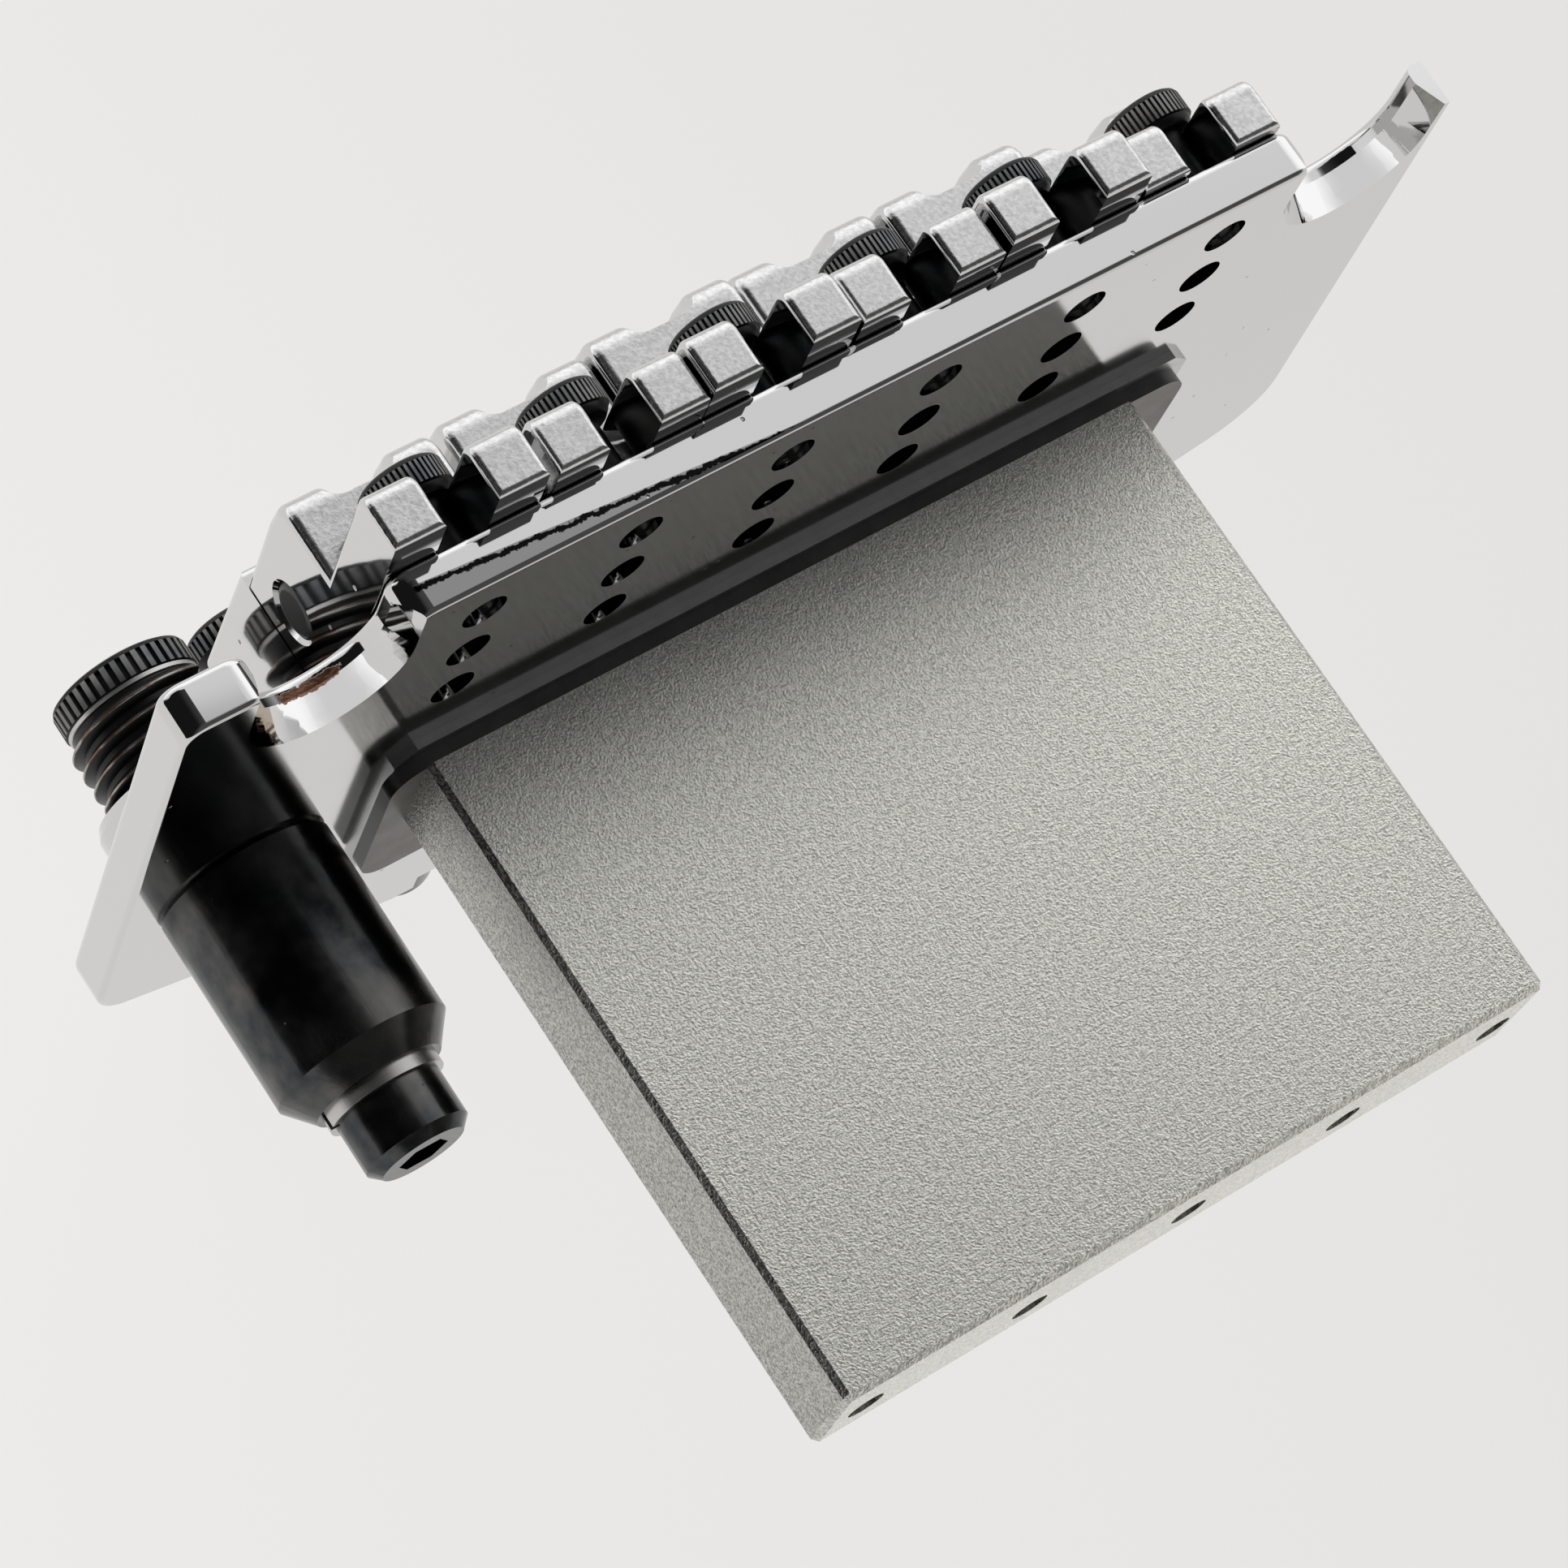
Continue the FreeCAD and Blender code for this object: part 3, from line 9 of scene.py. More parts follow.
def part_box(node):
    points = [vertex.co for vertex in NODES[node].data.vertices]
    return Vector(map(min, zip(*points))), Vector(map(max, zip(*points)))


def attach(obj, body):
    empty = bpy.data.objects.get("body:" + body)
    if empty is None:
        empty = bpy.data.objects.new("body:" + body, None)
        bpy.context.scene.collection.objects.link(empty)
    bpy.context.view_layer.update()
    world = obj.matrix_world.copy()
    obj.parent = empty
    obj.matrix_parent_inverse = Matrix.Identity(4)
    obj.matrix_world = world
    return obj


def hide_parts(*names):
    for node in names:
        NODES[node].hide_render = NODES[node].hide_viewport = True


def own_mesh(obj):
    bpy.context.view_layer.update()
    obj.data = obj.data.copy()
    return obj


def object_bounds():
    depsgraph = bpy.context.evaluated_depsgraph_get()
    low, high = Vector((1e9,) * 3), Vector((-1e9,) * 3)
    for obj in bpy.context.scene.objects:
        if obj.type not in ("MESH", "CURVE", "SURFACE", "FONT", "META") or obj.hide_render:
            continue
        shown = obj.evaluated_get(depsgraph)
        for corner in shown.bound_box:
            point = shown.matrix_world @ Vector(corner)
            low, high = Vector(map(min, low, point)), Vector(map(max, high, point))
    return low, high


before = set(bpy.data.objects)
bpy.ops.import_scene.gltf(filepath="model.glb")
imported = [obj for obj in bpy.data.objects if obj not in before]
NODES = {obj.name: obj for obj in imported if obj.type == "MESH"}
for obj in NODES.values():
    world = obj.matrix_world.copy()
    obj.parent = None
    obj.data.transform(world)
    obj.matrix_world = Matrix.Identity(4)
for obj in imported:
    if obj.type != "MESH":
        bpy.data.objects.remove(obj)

CAD_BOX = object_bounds()
MM = 0.001
STRINGS = range(1, 7)
CHROME = 0.66
STUD_X = 37.3 * MM
KNIFE_RADIUS = 4.6 * MM
KNIFE_HEIGHT = 2.2 * MM
BEVEL_SLOPE = 0.9
BEVEL_LEAN = 0.41
DRAFT = 0.1
SOCKET_MIDDLE = sum((Vector(corner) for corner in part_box("arm_socket")), Vector()) / 2
ARM_X, ARM_Y = SOCKET_MIDDLE.xy


# Shader expressions

class Socket:
    """Output of a shader node; arithmetic on it adds Math nodes."""

    def __init__(self, tree, link):
        self.tree = tree
        self.link = link

    def math(self, operation, *values):
        return self.tree.node("Math", {"operation": operation}, dict(enumerate(values)))

    def __add__(self, other):
        return self.math("ADD", self, other)

    def __sub__(self, other):
        return self.math("SUBTRACT", self, other)

    def __rsub__(self, other):
        return self.math("SUBTRACT", other, self)

    def __mul__(self, other):
        return self.math("MULTIPLY", self, other)

    __radd__ = __add__

    def size(self):
        return self.math("ABSOLUTE", self)

    def most(self, other):
        return self.math("MAXIMUM", self, other)

    def squared(self):
        return self.math("MULTIPLY", self, self)

    def root(self):
        return self.math("SQRT", self)

    def ramp(self, low, high):
        """0 up to low, 1 from high on, smooth between."""
        sockets = {"Value": self, "From Min": low, "From Max": high}
        return self.tree.node("MapRange", {"interpolation_type": "SMOOTHSTEP"}, sockets)


class Tree:
    """Node tree whose nodes all come from one method."""

    def __init__(self, node_tree):
        self.nodes = node_tree.nodes
        self.links = node_tree.links

    def node(self, kind, settings=None, sockets=None, output=0):
        made = self.nodes.new("ShaderNode" + kind)
        for name, setting in (settings or {}).items():
            setattr(made, name, setting)
        for name, value in (sockets or {}).items():
            self.feed(made.inputs[name], value)
        return Socket(self, made.outputs[output])

    def feed(self, socket, value):
        if isinstance(value, Socket):
            self.links.new(value.link, socket)
        else:
            socket.default_value = value

    def mix(self, factor, first, second):
        """Colour between two colours."""
        sockets = {"Factor": factor, 6: first, 7: second}
        return self.node("Mix", {"data_type": "RGBA"}, sockets, 2)

    def split(self, vector):
        return [self.node("SeparateXYZ", None, {0: vector}, axis) for axis in range(3)]


class Finish(Tree):
    """Procedural material on Object coordinates, with constants set on its shader's own sockets."""

    def __init__(self, name, **constants):
        self.material = bpy.data.materials.new(name)
        self.material.use_nodes = True
        super().__init__(self.material.node_tree)
        self.shader = self.nodes["Principled BSDF"]
        for socket, value in constants.items():
            self.shader.inputs[socket.replace("_", " ")].default_value = value
        self.place = self.node("TexCoord", None, None, "Object")
        self.facing = self.node("TexCoord", None, None, "Normal")

    def noise(self, grain, detail=2.0, roughness=0.5, stretch=(1, 1, 1)):
        """Noise whose blotches are about grain metres wide, 0.5 on average."""
        place = self.node("Mapping", None, {"Vector": self.place, "Scale": stretch})
        sockets = {"Vector": place, "Scale": 1 / grain, "Detail": detail, "Roughness": roughness}
        return self.node("TexNoise", None, sockets)

    def cells(self, grain):
        """Distance to the nearest of points that lie about grain metres apart, in grains."""
        return self.node("TexVoronoi", None, {"Vector": self.place, "Scale": 1 / grain})

    def near(self, point, low, high):
        """1 within low metres of a point, 0 beyond high."""
        gap = self.node("VectorMath", {"operation": "DISTANCE"}, {0: self.place, 1: point}, "Value")
        return 1 - gap.ramp(low, high)

    def set(self, **surface):
        for socket, value in surface.items():
            self.feed(self.shader.inputs[socket.replace("_", " ")], value)

    def bump(self, height, distance, strength=1.0, under=None):
        sockets = {"Height": height, "Distance": distance, "Strength": strength}
        if under:
            sockets["Normal"] = under
        return self.node("Bump", None, sockets)

    def own_normal(self):
        return self.node("NewGeometry", None, None, "Normal")

    def blend_normals(self, factor, first, second):
        return self.node("Mix", {"data_type": "VECTOR"}, {0: factor, 4: first, 5: second}, 1)


def grey(value, warmth=0.0):
    """Colour of a lightness, shifted a little to warm or cold."""
    return (value * (1 + warmth), value, value * (1 - warmth), 1.0)


def silver(value):
    """Faintly yellow grey of blasted plating."""
    return (value * 1.01, value, value * 0.93, 1.0)


# Finishes

def plate_chrome():
    """Bright chrome, smudged and pitted, with a painted dark reflection line on its bulging front and a worn
    knife edge.
    """
    finish = Finish("plate_chrome", Metallic=1.0)
    across, along, height = finish.split(finish.place)
    facing = finish.split(finish.facing)
    under = (0 - facing[2]).ramp(0.9, 0.98)
    smudge = finish.noise(9 * MM, 4.0, 0.6).ramp(0.45, 0.8)
    pits = 1 - finish.cells(2.6 * MM).ramp(0.03, 0.06)
    radius = ((across.size() - STUD_X).squared() + along.squared()).root()
    from_edge = ((radius - KNIFE_RADIUS).squared() + (height - KNIFE_HEIGHT).squared()).root()
    rubbed = (0 - along).ramp(3.0 * MM, 3.8 * MM) * (1 - (across - 36.7 * MM).size().ramp(1.6 * MM, 2.6 * MM))
    rubbed = rubbed * (1 - from_edge.ramp(0.1 * MM, 0.6 * MM))
    wear = (rubbed + (finish.noise(0.7 * MM, 6.0, 0.75) - 0.5) * 2.2).ramp(0.55, 0.68)
    copper = finish.mix(finish.noise(0.4 * MM, 4.0), (0.12, 0.05, 0.03, 1), (0.55, 0.30, 0.20, 1))
    gold = finish.near((40.7 * MM, -3.4 * MM, 1.1 * MM), 0.6 * MM, 2.0 * MM)
    chrome = finish.mix(gold * 0.6, grey(CHROME), (0.66, 0.50, 0.28, 1))
    chrome = finish.mix(pits * 0.5, chrome, grey(0.2))
    front = facing[1].ramp(0.93, 0.98)
    crease = 0.1 * MM + (across - 3 * MM) * 0.0665
    inboard = 1 - across.ramp(33 * MM, 34 * MM)
    below = crease - height
    ragged = below + (finish.noise(0.8 * MM, 5.0, 0.7) - 0.5) * (0.9 * MM)
    # painted reflection: a ragged near-black band on the front face below the crease stands in for the dark
    # gap that the bulging chrome mirrors there
    line = ragged.ramp(0.05 * MM, 0.12 * MM) * (1 - ragged.ramp(0.40 * MM, 0.47 * MM)) * front * inboard
    chrome = finish.mix(line, chrome, grey(0.015))
    finish.set(Base_Color=finish.mix(wear, chrome, copper),
               Roughness=0.035 + smudge * 0.05 + wear * 0.35 + pits * 0.2 + under * 0.07)
    bulge = below.most(0) * inboard * 0.13 + (2.4 * MM - height).most(0).squared() * 8
    bulging = finish.blend_normals(front, finish.own_normal(), finish.bump(0 - bulge, 1.0))
    bevel = (1 - (facing[2] + BEVEL_LEAN).size().ramp(0.08, 0.15)) * (1 - radius.ramp(5.55 * MM, 5.65 * MM))
    corner = bevel * (0 - facing[0]).ramp(0.3, 0.5) * (1 - across.ramp(-1 * MM, 1 * MM))
    upright = finish.blend_normals(bevel, bulging, finish.bump(0 - height * BEVEL_SLOPE, 1.0))
    upright = finish.blend_normals(corner, upright, finish.bump(height * BEVEL_SLOPE, 1.0))
    wave = finish.bump(finish.noise(5 * MM, 1.0), 0.012 * MM, 0.6, upright)
    finish.set(Normal=finish.bump(wear * finish.noise(0.3 * MM, 3.0) - pits * 0.4, 0.05 * MM, 1.0, wave))
    return finish.material


def cast_chrome(name, grain_face, gloss):
    """Chrome over a casting: bright sides, and faces towards the neck that keep the mould's grain."""
    finish = Finish(name, Metallic=1.0)
    facing = finish.split(finish.facing)
    front = facing[1].ramp(0.55, 0.85) * grain_face
    grain = finish.noise(0.3 * MM, 3.0, 0.6)
    pits = 1 - finish.cells(3.1 * MM).ramp(0.04, 0.07)
    cast = finish.mix(grain.ramp(0.3, 0.7), grey(0.56), grey(0.72))
    finish.set(Base_Color=finish.mix(front, grey(CHROME), cast),
               Roughness=gloss + front * 0.2 + finish.noise(6 * MM, 4.0).ramp(0.5, 0.8) * 0.05 + pits * 0.3)
    draft = finish.bump(0 - finish.split(finish.place)[2] * DRAFT, 1.0)
    leaning = finish.blend_normals(facing[0].ramp(0.93, 0.98), finish.own_normal(), draft)
    wave = finish.bump(finish.noise(4 * MM, 1.0), 0.02 * MM, 0.6, leaning)
    finish.set(Normal=finish.bump(grain * front - pits * 0.5, 0.02 * MM, 1.0, wave))
    return finish.material


def black_oxide(name, gloss, lightness, wear=0.0):
    """Black oxide on steel, a little oily, with brown where the edges are worn."""
    finish = Finish(name, Metallic=1.0)
    cloud = finish.noise(4.5 * MM, 4.0, 0.6).ramp(0.3, 0.7)
    scratch = finish.noise(0.25 * MM, 3.0, 0.6, (1, 1, 0.08))
    rust = finish.noise(2.2 * MM, 5.0, 0.7).ramp(0.62, 0.75) * wear
    dust = 1 - finish.cells(1.7 * MM).ramp(0.03, 0.06)
    black = finish.mix(cloud, grey(lightness * 0.5, -0.12), grey(lightness * 1.6, 0.03))
    black = finish.mix(dust * 0.6, black, grey(0.2))
    finish.set(Base_Color=finish.mix(rust, black, (0.09, 0.05, 0.03, 1)),
               Roughness=gloss + (cloud - 0.5) * 0.12 + scratch * 0.08 + dust * 0.3)
    finish.set(Normal=finish.bump(scratch + cloud, 0.01 * MM, 0.5))
    return finish.material


def worn_thread():
    """Black thread whose crests are rubbed down to copper and steel."""
    finish = Finish("thread_black", Metallic=0.9)
    across, along = finish.split(finish.place)[:2]
    radius = ((across - ARM_X).squared() + (along - ARM_Y).squared()).root()
    rubbed = finish.noise(1.6 * MM, 4.0)
    crest = (radius + (rubbed - 0.5) * (0.16 * MM)).ramp(4.91 * MM, 4.98 * MM)
    bright = finish.mix(rubbed.ramp(0.4, 0.6), (0.34, 0.19, 0.13, 1), grey(0.42, 0.05))
    finish.set(Base_Color=finish.mix(crest, grey(0.035), bright),
               Roughness=0.36 - crest * 0.1)
    return finish.material


def blasted_silver():
    """Sand-blasted light silver: fine facets that sparkle, and painted shade that makes the narrow sides
    greyer.
    """
    finish = Finish("blasted_silver", Metallic=1.0)
    side = finish.split(finish.facing)[0].size()
    fine = finish.noise(0.16 * MM, 2.0, 0.6)
    coarse = finish.noise(0.42 * MM, 3.0, 0.6)
    grain = fine * 0.65 + coarse * 0.35
    speck = grain.ramp(0.38, 0.6)
    bright = finish.mix(speck, silver(0.56), silver(1.0))
    painted_side_shade = finish.mix(speck, silver(0.12), silver(0.55))
    # painted shade: faces turned towards ±X take a darker speckled colour, standing in for the shade on the
    # block's narrow sides
    finish.set(Base_Color=finish.mix(side.ramp(0.5, 0.8) * 0.85, bright, painted_side_shade),
               Roughness=0.25 + coarse * 0.1)
    finish.set(Normal=finish.bump(grain, 0.08 * MM, 0.8))
    return finish.material


def spacer_black():
    """Dark plated spacer, brownish on its underside."""
    finish = Finish("spacer_black", Metallic=0.4)
    under = (0 - finish.split(finish.facing)[2]).ramp(0.5, 0.9)
    cloud = finish.noise(2.5 * MM, 4.0, 0.6)
    dark = finish.mix(cloud, grey(0.06), grey(0.20))
    finish.set(Base_Color=finish.mix(under, dark, (0.12, 0.105, 0.09, 1)),
               Roughness=0.28 + cloud * 0.2)
    finish.set(Normal=finish.bump(finish.noise(0.3 * MM, 3.0), 0.02 * MM, 0.5))
    return finish.material


def plain_steel(name, lightness, gloss, warmth=0.0):
    """Bare or plated steel with a fine drawn grain."""
    finish = Finish(name, Metallic=1.0)
    cloud = finish.noise(1.8 * MM, 4.0, 0.6)
    drawn = finish.noise(0.12 * MM, 3.0, 0.6, (0.12, 1, 1))
    finish.set(Base_Color=finish.mix(cloud, grey(lightness * 0.8, warmth), grey(lightness * 1.15, warmth)),
               Roughness=gloss + drawn * 0.12)
    finish.set(Normal=finish.bump(drawn, 0.01 * MM, 0.6))
    return finish.material


FINISHES = {
    "plate_chrome": plate_chrome(),
    "saddle_chrome": cast_chrome("saddle_chrome", 1.0, 0.05),
    "lever_chrome": cast_chrome("lever_chrome", 0.25, 0.06),
    "shim_chrome": plain_steel("shim_chrome", 0.62, 0.3),
    "spacer_black": spacer_black(),
    "blasted_silver": blasted_silver(),
    "black_oxide": black_oxide("black_oxide", 0.18, 0.08),
    "knurl_black": black_oxide("knurl_black", 0.42, 0.03),
    "knurl_crest": black_oxide("knurl_crest", 0.40, 0.16, 0.4),
    "thread_black": worn_thread(),
    "pin_steel": plain_steel("pin_steel", 0.09, 0.3),
    "insert_steel": plain_steel("insert_steel", 0.35, 0.3),
    "washer_steel": plain_steel("washer_steel", 0.62, 0.3, 0.02),
    "spring_steel": plain_steel("spring_steel", 0.3, 0.3, -0.04),
}

# CAD nodes keep their meshes and take a finish

DRESSED = {
    "plate_chrome": ["base_plate", "arm_nut"],
    "saddle_chrome": [f"saddle_{n}" for n in STRINGS],
    "lever_chrome": [f"lever_{n}" for n in STRINGS],
    "shim_chrome": ["block_shim"],
    "spacer_black": ["block_spacer"],
    "blasted_silver": ["sustain_block"],
    "black_oxide": ["lock_sleeve", "cap_screw", "block_screws", *[f"lock_screw_{n}" for n in STRINGS]],
    "pin_steel": [f"pivot_pin_{n}" for n in STRINGS],
    "insert_steel": [f"clamp_insert_{n}" for n in STRINGS],
    "washer_steel": ["lock_washer"],
    "spring_steel": ["spring_screws"],
}
for finish_name, dressed in DRESSED.items():
    for node_name in dressed:
        NODES[node_name].data.materials.clear()
        NODES[node_name].data.materials.append(FINISHES[finish_name])


# Turned pieces with knurls and threads, drawn in millimetres on the Z axis, and copies of the springs

SEGMENTS = 96


def lathe(bm, profile, steps=SEGMENTS, closed=False):
    """Full turn of a profile of (radius, height) points."""
    points = [bm.verts.new((radius, 0, height)) for radius, height in profile]
    ends = points[1:] + points[:1] if closed else points[1:]
    lines = [bm.edges.new(pair) for pair in zip(points, ends)]
    bmesh.ops.spin(bm, geom=points + lines, cent=(0, 0, 0), axis=(0, 0, 1), angle=math.tau, steps=steps,
                   use_merge=True)
    bmesh.ops.remove_doubles(bm, verts=bm.verts, dist=1e-4)
    bmesh.ops.recalc_face_normals(bm, faces=bm.faces)


def knurl(bm, low, high, teeth, depth):
    """Straight grooves between two heights of a lathe with two columns of faces for each tooth."""
    column = math.tau / (2 * teeth)
    grooves = []
    for face in bm.faces:
        middle = face.calc_center_median()
        turn = math.atan2(middle.y, middle.x) % math.tau
        if low < middle.z < high:
            face.material_index = 1
            if int(turn / column) % 2:
                grooves.append(face)
    bmesh.ops.inset_individual(bm, faces=grooves, thickness=depth * 0.35, depth=-depth)
    for face in grooves:
        face.material_index = 0


def hex_socket(bm, rim, top, across, depth):
    """Hexagonal hole inside the open rim of a lathe."""
    ring = [edge for edge in bm.edges if edge.is_boundary
            and all(abs(vert.co.z - top) < 1e-4 and vert.co.xy.length < rim + 1e-4 for vert in edge.verts)]
    corner = across / math.sqrt(3)
    hexagon = bmesh.ops.create_circle(bm, segments=6, radius=corner,
                                      matrix=Matrix.Translation((0, 0, top - 0.1)))["verts"]
    mouth = list({edge for vert in hexagon for edge in vert.link_edges})
    bmesh.ops.bridge_loops(bm, edges=ring + mouth)
    walls = bmesh.ops.extrude_edge_only(bm, edges=mouth)["geom"]
    bmesh.ops.translate(bm, verts=[item for item in walls if isinstance(item, bmesh.types.BMVert)],
                        vec=(0, 0, -depth))
    bmesh.ops.contextual_create(bm, geom=[item for item in walls if isinstance(item, bmesh.types.BMEdge)])


def make_piece(bm, name, place, body, nodes, slot, *finishes):
    """Object of a piece drawn in millimetres, moved to its place, riding on a body instead of CAD nodes."""
    bmesh.ops.translate(bm, verts=bm.verts, vec=place)
    bmesh.ops.scale(bm, verts=bm.verts, vec=(MM, MM, MM))
    bmesh.ops.remove_doubles(bm, verts=bm.verts, dist=1e-7)
    bmesh.ops.recalc_face_normals(bm, faces=bm.faces)
    for face in bm.faces:
        face.smooth = True
    mesh = bpy.data.meshes.new(name)
    bm.to_mesh(mesh)
    bm.free()
    mesh.set_sharp_from_angle(angle=math.radians(38))
    for finish in finishes:
        mesh.materials.append(FINISHES[finish])
    piece = bpy.data.objects.new(name, mesh)
    bpy.context.scene.collection.objects.link(piece)
    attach(piece, body)
    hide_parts(*nodes)
    return piece


def node_box(name):
    """Lowest and highest corner of a CAD node, in millimetres."""
    return [Vector(corner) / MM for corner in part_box(name)]


def axis_of(name):
    """Plan place of the upright axis of a round CAD node."""
    low, high = node_box(name)
    return Vector(((low.x + high.x) / 2, (low.y + high.y) / 2, 0))


def make_hold_down_screws():
    low, high = node_box("hold_down_screws")
    tip, top, line = low.z, high.z, (low.y + high.y) / 2
    rim = (high.y - low.y) / 2
    head, thread, mouth, key, key_depth = 2.42, 1.45, 1.62, 2.5, 1.4
    teeth, groove = 48, 0.13
    seat = top - head
    bm = bmesh.new()
    lathe(bm, [(0, tip), (thread - 0.3, tip), (thread, tip + 0.3), (thread, seat), (rim - 0.55, seat),
               (rim - 0.25, seat + 0.3), (rim - 0.2, seat + 0.5), (rim, seat + 0.58), (rim, top - 0.45),
               (rim - 0.12, top - 0.2), (rim - 0.35, top - 0.04), (rim - 0.6, top), (mouth, top)], 2 * teeth)
    knurl(bm, seat + 0.6, top - 0.5, teeth, groove)
    hex_socket(bm, mouth, top, key, key_depth)
    screw = bm.verts[:] + bm.edges[:] + bm.faces[:]
    first = axis_of("fine_tuner_1").x
    for n in STRINGS[1:]:
        copied = bmesh.ops.duplicate(bm, geom=screw)["geom"]
        bmesh.ops.translate(bm, verts=[item for item in copied if isinstance(item, bmesh.types.BMVert)],
                            vec=(axis_of(f"fine_tuner_{n}").x - first, 0, 0))
    make_piece(bm, "knurled_hold_down_screws", (first, line, 0), "base", ["hold_down_screws"], "black_oxide",
               "knurl_black", "knurl_crest")


def make_fine_tuner(n):
    node = f"fine_tuner_{n}"
    low, high = node_box(node)
    tip, top = low.z, high.z
    rim = (high.x - low.x) / 2
    head, thread, teeth, groove = 2.2, 1.95, 36, 0.2
    under = top - head
    bm = bmesh.new()
    lathe(bm, [(0, tip), (1.0, tip), (1.2, tip + 0.1), (thread, tip + 1.0), (thread, under),
               (rim - 0.7, under), (rim - 0.15, under + 0.45), (rim, under + 0.6), (rim, top - 0.4),
               (rim - 0.12, top - 0.15), (rim - 0.4, top), (2.1, top), (1.9, top - 0.08), (1.6, top - 0.5),
               (1.2, top - 0.6), (0, top - 0.6)], 2 * teeth)
    knurl(bm, under + 0.62, top - 0.42, teeth, groove)
    make_piece(bm, f"knurled_{node}", axis_of(node), node, [node], "black_oxide",
               "knurl_black", "knurl_crest")


def make_torque_collar():
    low, high = node_box("torque_collar")
    rim = (high.x - low.x) / 2
    top = high.z
    head, bore, spigot, teeth, groove = 2.3, 3.25, 3.9, 40, 0.24
    seat = top - head
    flange = seat + 0.4
    bm = bmesh.new()
    lathe(bm, [(bore, low.z), (spigot, low.z), (spigot, seat), (rim - 0.25, seat), (rim - 0.12, seat + 0.1),
               (rim - 0.12, seat + 0.36), (rim, seat + 0.45), (rim, top - 0.4), (rim - 0.12, top - 0.14),
               (rim - 0.4, top), (bore + 0.25, top), (bore, top - 0.25)], 2 * teeth, closed=True)
    knurl(bm, seat + 0.46, top - 0.42, teeth, groove)
    for face in bm.faces:
        if seat - 0.01 < face.calc_center_median().z < flange:
            face.material_index = 2
    make_piece(bm, "knurled_torque_collar", axis_of("torque_collar"), "torque_collar", ["torque_collar"],
               "black_oxide", "knurl_black", "knurl_crest", "washer_steel")


def make_arm_socket():
    """Tube with a screw thread between the nut and the collar."""
    low, high = node_box("arm_socket")
    wall = (high.x - low.x) / 2
    top = high.z
    nut_top = node_box("arm_nut")[1].z
    root, pitch = 0.6, 1.25
    spigot, counterbore, bore, foot = 2.0, 3.95, 3.05, -9.15
    shoulder, bore_end = 9.65, -5.0
    bm = bmesh.new()
    lathe(bm, [(0, foot), (spigot, foot), (spigot, low.z), (wall, low.z), (wall, nut_top - 0.5),
               (wall - root, nut_top), (wall - root, top), (counterbore, top), (counterbore, shoulder),
               (bore, shoulder), (bore, bore_end), (0, bore_end)])
    start = nut_top - pitch / 2
    ridge = [(wall - root - 0.1, -0.52), (wall - 0.12, -0.14), (wall - 0.03, -0.05), (wall - 0.03, 0.05),
             (wall - 0.12, 0.14), (wall - root - 0.1, 0.52)]
    section = bm.faces.new([bm.verts.new((radius, 0, start + height)) for radius, height in ridge])
    turns = (top - 0.45 - start) / pitch
    bmesh.ops.spin(bm, geom=[section, *section.edges, *section.verts], cent=(0, 0, 0), axis=(0, 0, 1),
                   dvec=(0, 0, pitch / SEGMENTS), angle=math.tau * turns, steps=round(SEGMENTS * turns))
    make_piece(bm, "threaded_arm_socket", axis_of("arm_socket"), "base", ["arm_socket"], "thread_black",
               "thread_black")


def make_leaf_spring(n):
    """Copy of the CAD spring as a piece of its own, riding on the base."""
    node = f"leaf_spring_{n}"
    bm = bmesh.new()
    bm.from_mesh(NODES[node].data)
    bmesh.ops.scale(bm, verts=bm.verts, vec=(1 / MM, 1 / MM, 1 / MM))
    spring = make_piece(bm, f"flexing_{node}", (0, 0, 0), "base", [node], "spring_steel", "spring_steel")
    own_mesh(spring)


# Camera at the photograph's place

def make_camera():
    data = bpy.data.cameras.new("photo_camera")
    data.sensor_width = 36.0
    data.lens = 124.667
    data.clip_start = 0.01
    camera = bpy.data.objects.new("photo_camera", data)
    camera.matrix_world = Matrix.LocRotScale(Vector((0.141688, 0.271447, -0.084714)),
                                             Quaternion((0.305345, -0.0648, 0.778713, 0.544216)), None)
    bpy.context.scene.collection.objects.link(camera)
    bpy.context.scene.camera = camera
    return camera


# Stage: pale table behind the part and a studio room that is dark on the camera's side

BACKDROP = (0.80, 0.785, 0.77, 1.0)
BACKDROP_PAINTED_DIM = (0.90, 0.885, 0.87, 1.0)
BACKDROP_PAINTED_BRIGHT = (1.0, 0.99, 0.98, 1.0)


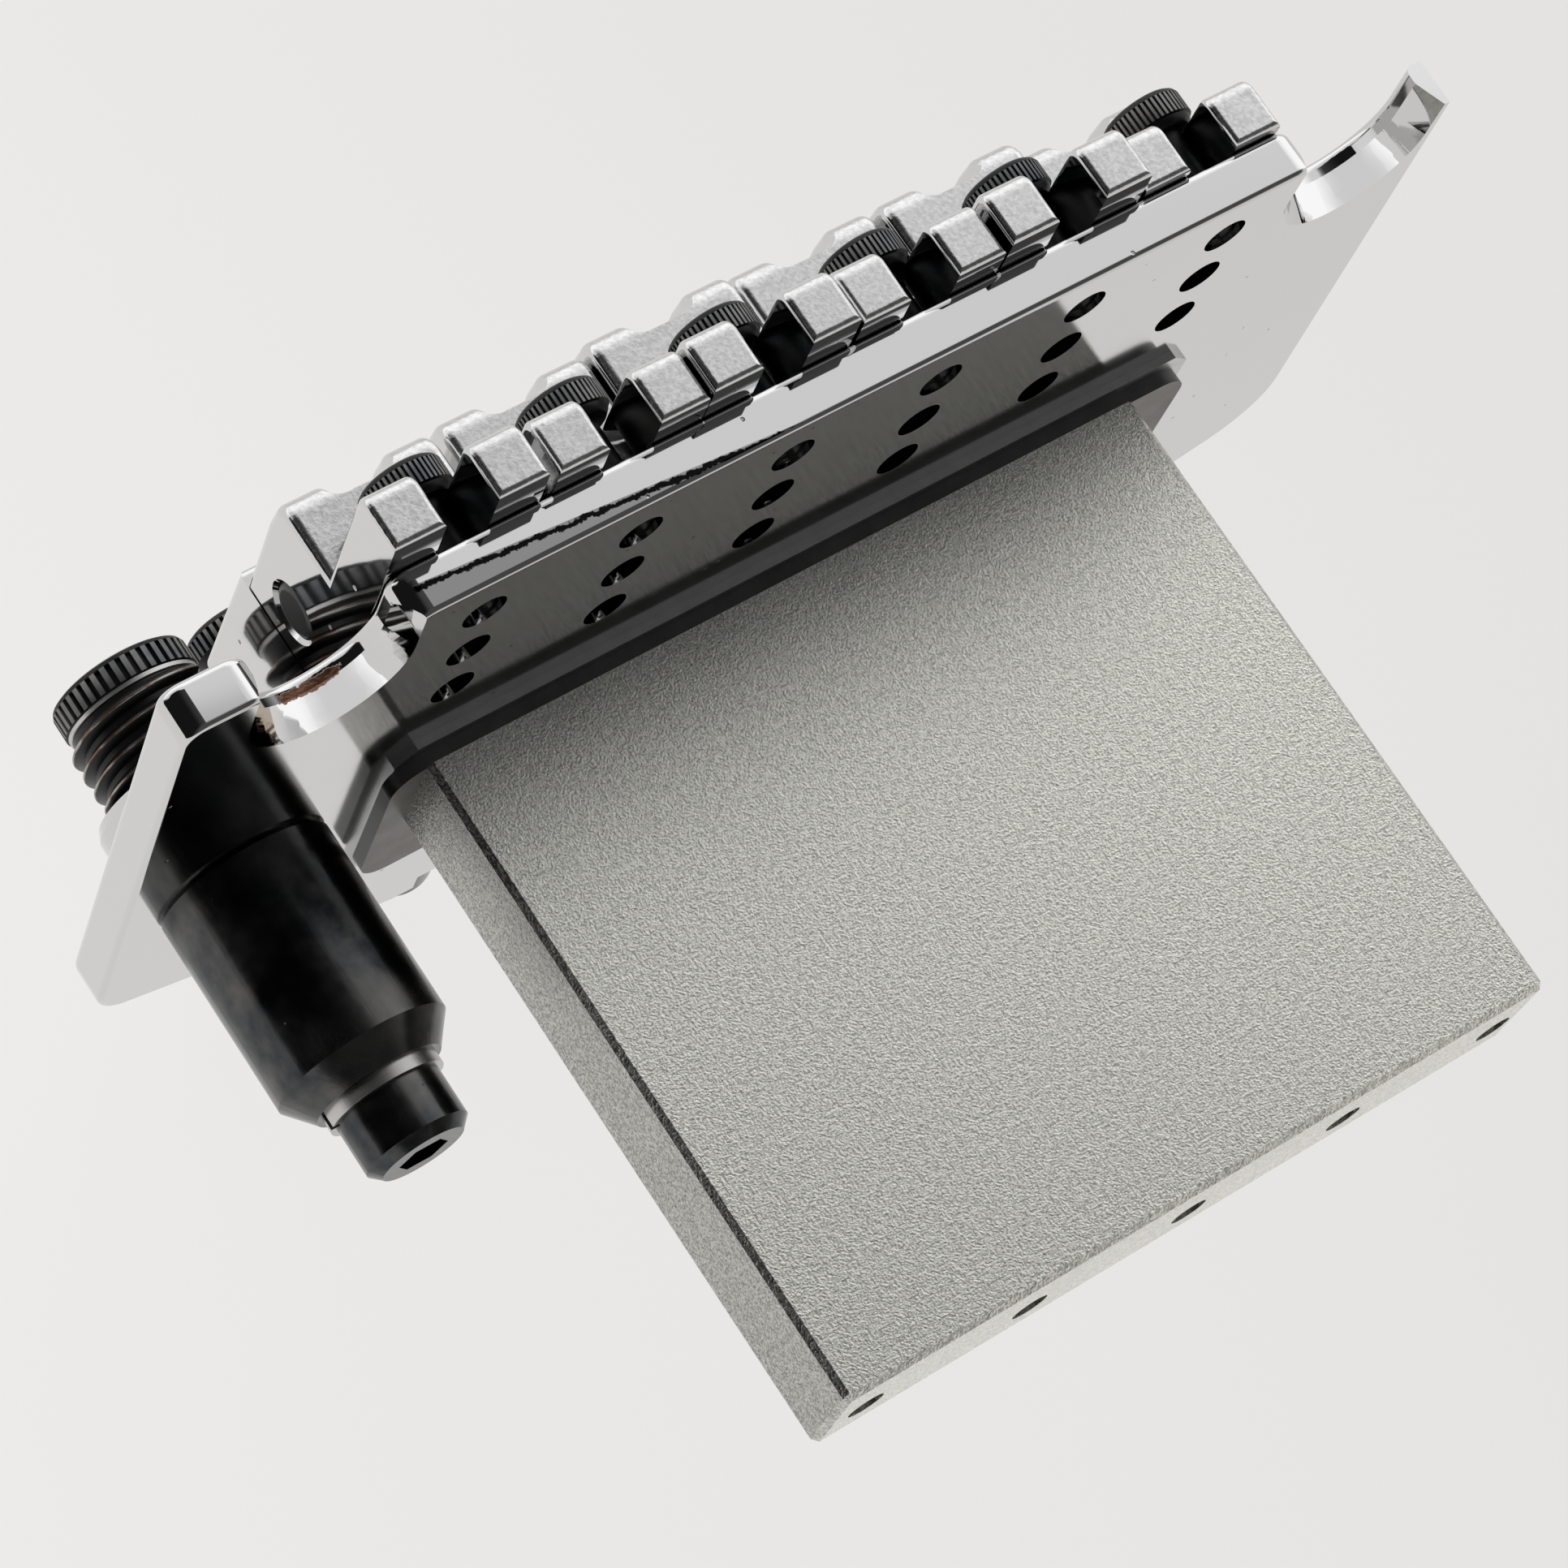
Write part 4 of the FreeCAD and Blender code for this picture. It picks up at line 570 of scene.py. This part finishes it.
def make_table():
    mesh = bpy.data.meshes.new("table")
    bm = bmesh.new()
    bmesh.ops.create_grid(bm, x_segments=1, y_segments=1, size=3.0)
    bmesh.ops.rotate(bm, verts=bm.verts, matrix=Matrix.Rotation(math.radians(-90), 3, "X"))
    bmesh.ops.translate(bm, verts=bm.verts, vec=(0, CAD_BOX[0].y - 1 * MM, 0))
    bm.to_mesh(mesh)
    bm.free()
    table = bpy.data.objects.new("table", mesh)
    bpy.context.scene.collection.objects.link(table)
    material = bpy.data.materials.new("pale_table")
    material.use_nodes = True
    tree = Tree(material.node_tree)
    tree.nodes.remove(tree.nodes["Principled BSDF"])
    camera = tree.node("LightPath", None, None, "Is Camera Ray")
    glossy = tree.node("LightPath", None, None, "Is Glossy Ray")
    plain = tree.node("BsdfDiffuse", None, {"Color": BACKDROP})
    across = tree.split(tree.node("TexCoord", None, None, "Object"))[0]
    # painted light: the table's glow is brighter towards +X, a gradient of light painted onto the backdrop
    glow = tree.node("Emission", None, {"Color": tree.mix(across.ramp(-0.09, 0.09), BACKDROP_PAINTED_DIM, BACKDROP_PAINTED_BRIGHT)})
    seen = tree.node("MixShader", None, {0: camera.most(glossy) * 0.8, 1: plain, 2: glow})
    clear = tree.node("BsdfTransparent")
    behind = tree.node("NewGeometry", None, None, "Backfacing")
    surface = tree.node("MixShader", None, {0: behind, 1: seen, 2: clear})
    tree.links.new(surface.link, tree.nodes["Material Output"].inputs["Surface"])
    mesh.materials.append(material)


def make_room(camera):
    """World that is pale behind the part and dark before it, with a soft box overhead and a grey card."""
    world = bpy.data.worlds.new("studio_room")
    bpy.context.scene.world = world
    world.use_nodes = True
    tree = Tree(world.node_tree)
    background = tree.nodes["Background"]
    way = tree.node("TexCoord", None, None, "Generated")
    turned = camera.matrix_world.to_3x3()
    dot = {"operation": "DOT_PRODUCT"}
    right, up, near = [tree.node("VectorMath", dot, {0: way, 1: turned.col[axis]}, "Value")
                       for axis in range(3)]
    gloom = tree.mix(right.ramp(-0.2, 0.5), grey(0.01), grey(0.08))
    room = tree.mix(near.ramp(-0.05, 0.35), BACKDROP, gloom)
    card = near.ramp(0.62, 0.65) * (1 - near.ramp(0.70, 0.78)) * up.ramp(0.40, 0.5) * right.ramp(0.2, 0.35)
    room = tree.mix(card, room, grey(0.36))
    box = (up - right * 0.3).ramp(0.30, 0.50) * (1 - near.ramp(0.60, 0.68))
    lit = tree.mix(box, room, tree.mix(near.ramp(0.1, 0.5), grey(1.4), grey(0.88)))
    seen = tree.node("LightPath", None, None, "Is Camera Ray")
    tree.feed(background.inputs["Color"], tree.mix(seen, lit, BACKDROP))


make_hold_down_screws()
for string in STRINGS:
    make_fine_tuner(string)
    make_leaf_spring(string)
make_torque_collar()
make_arm_socket()
photo_camera = make_camera()
make_table()
make_room(photo_camera)

bpy.context.scene.view_settings.view_transform = "Standard"
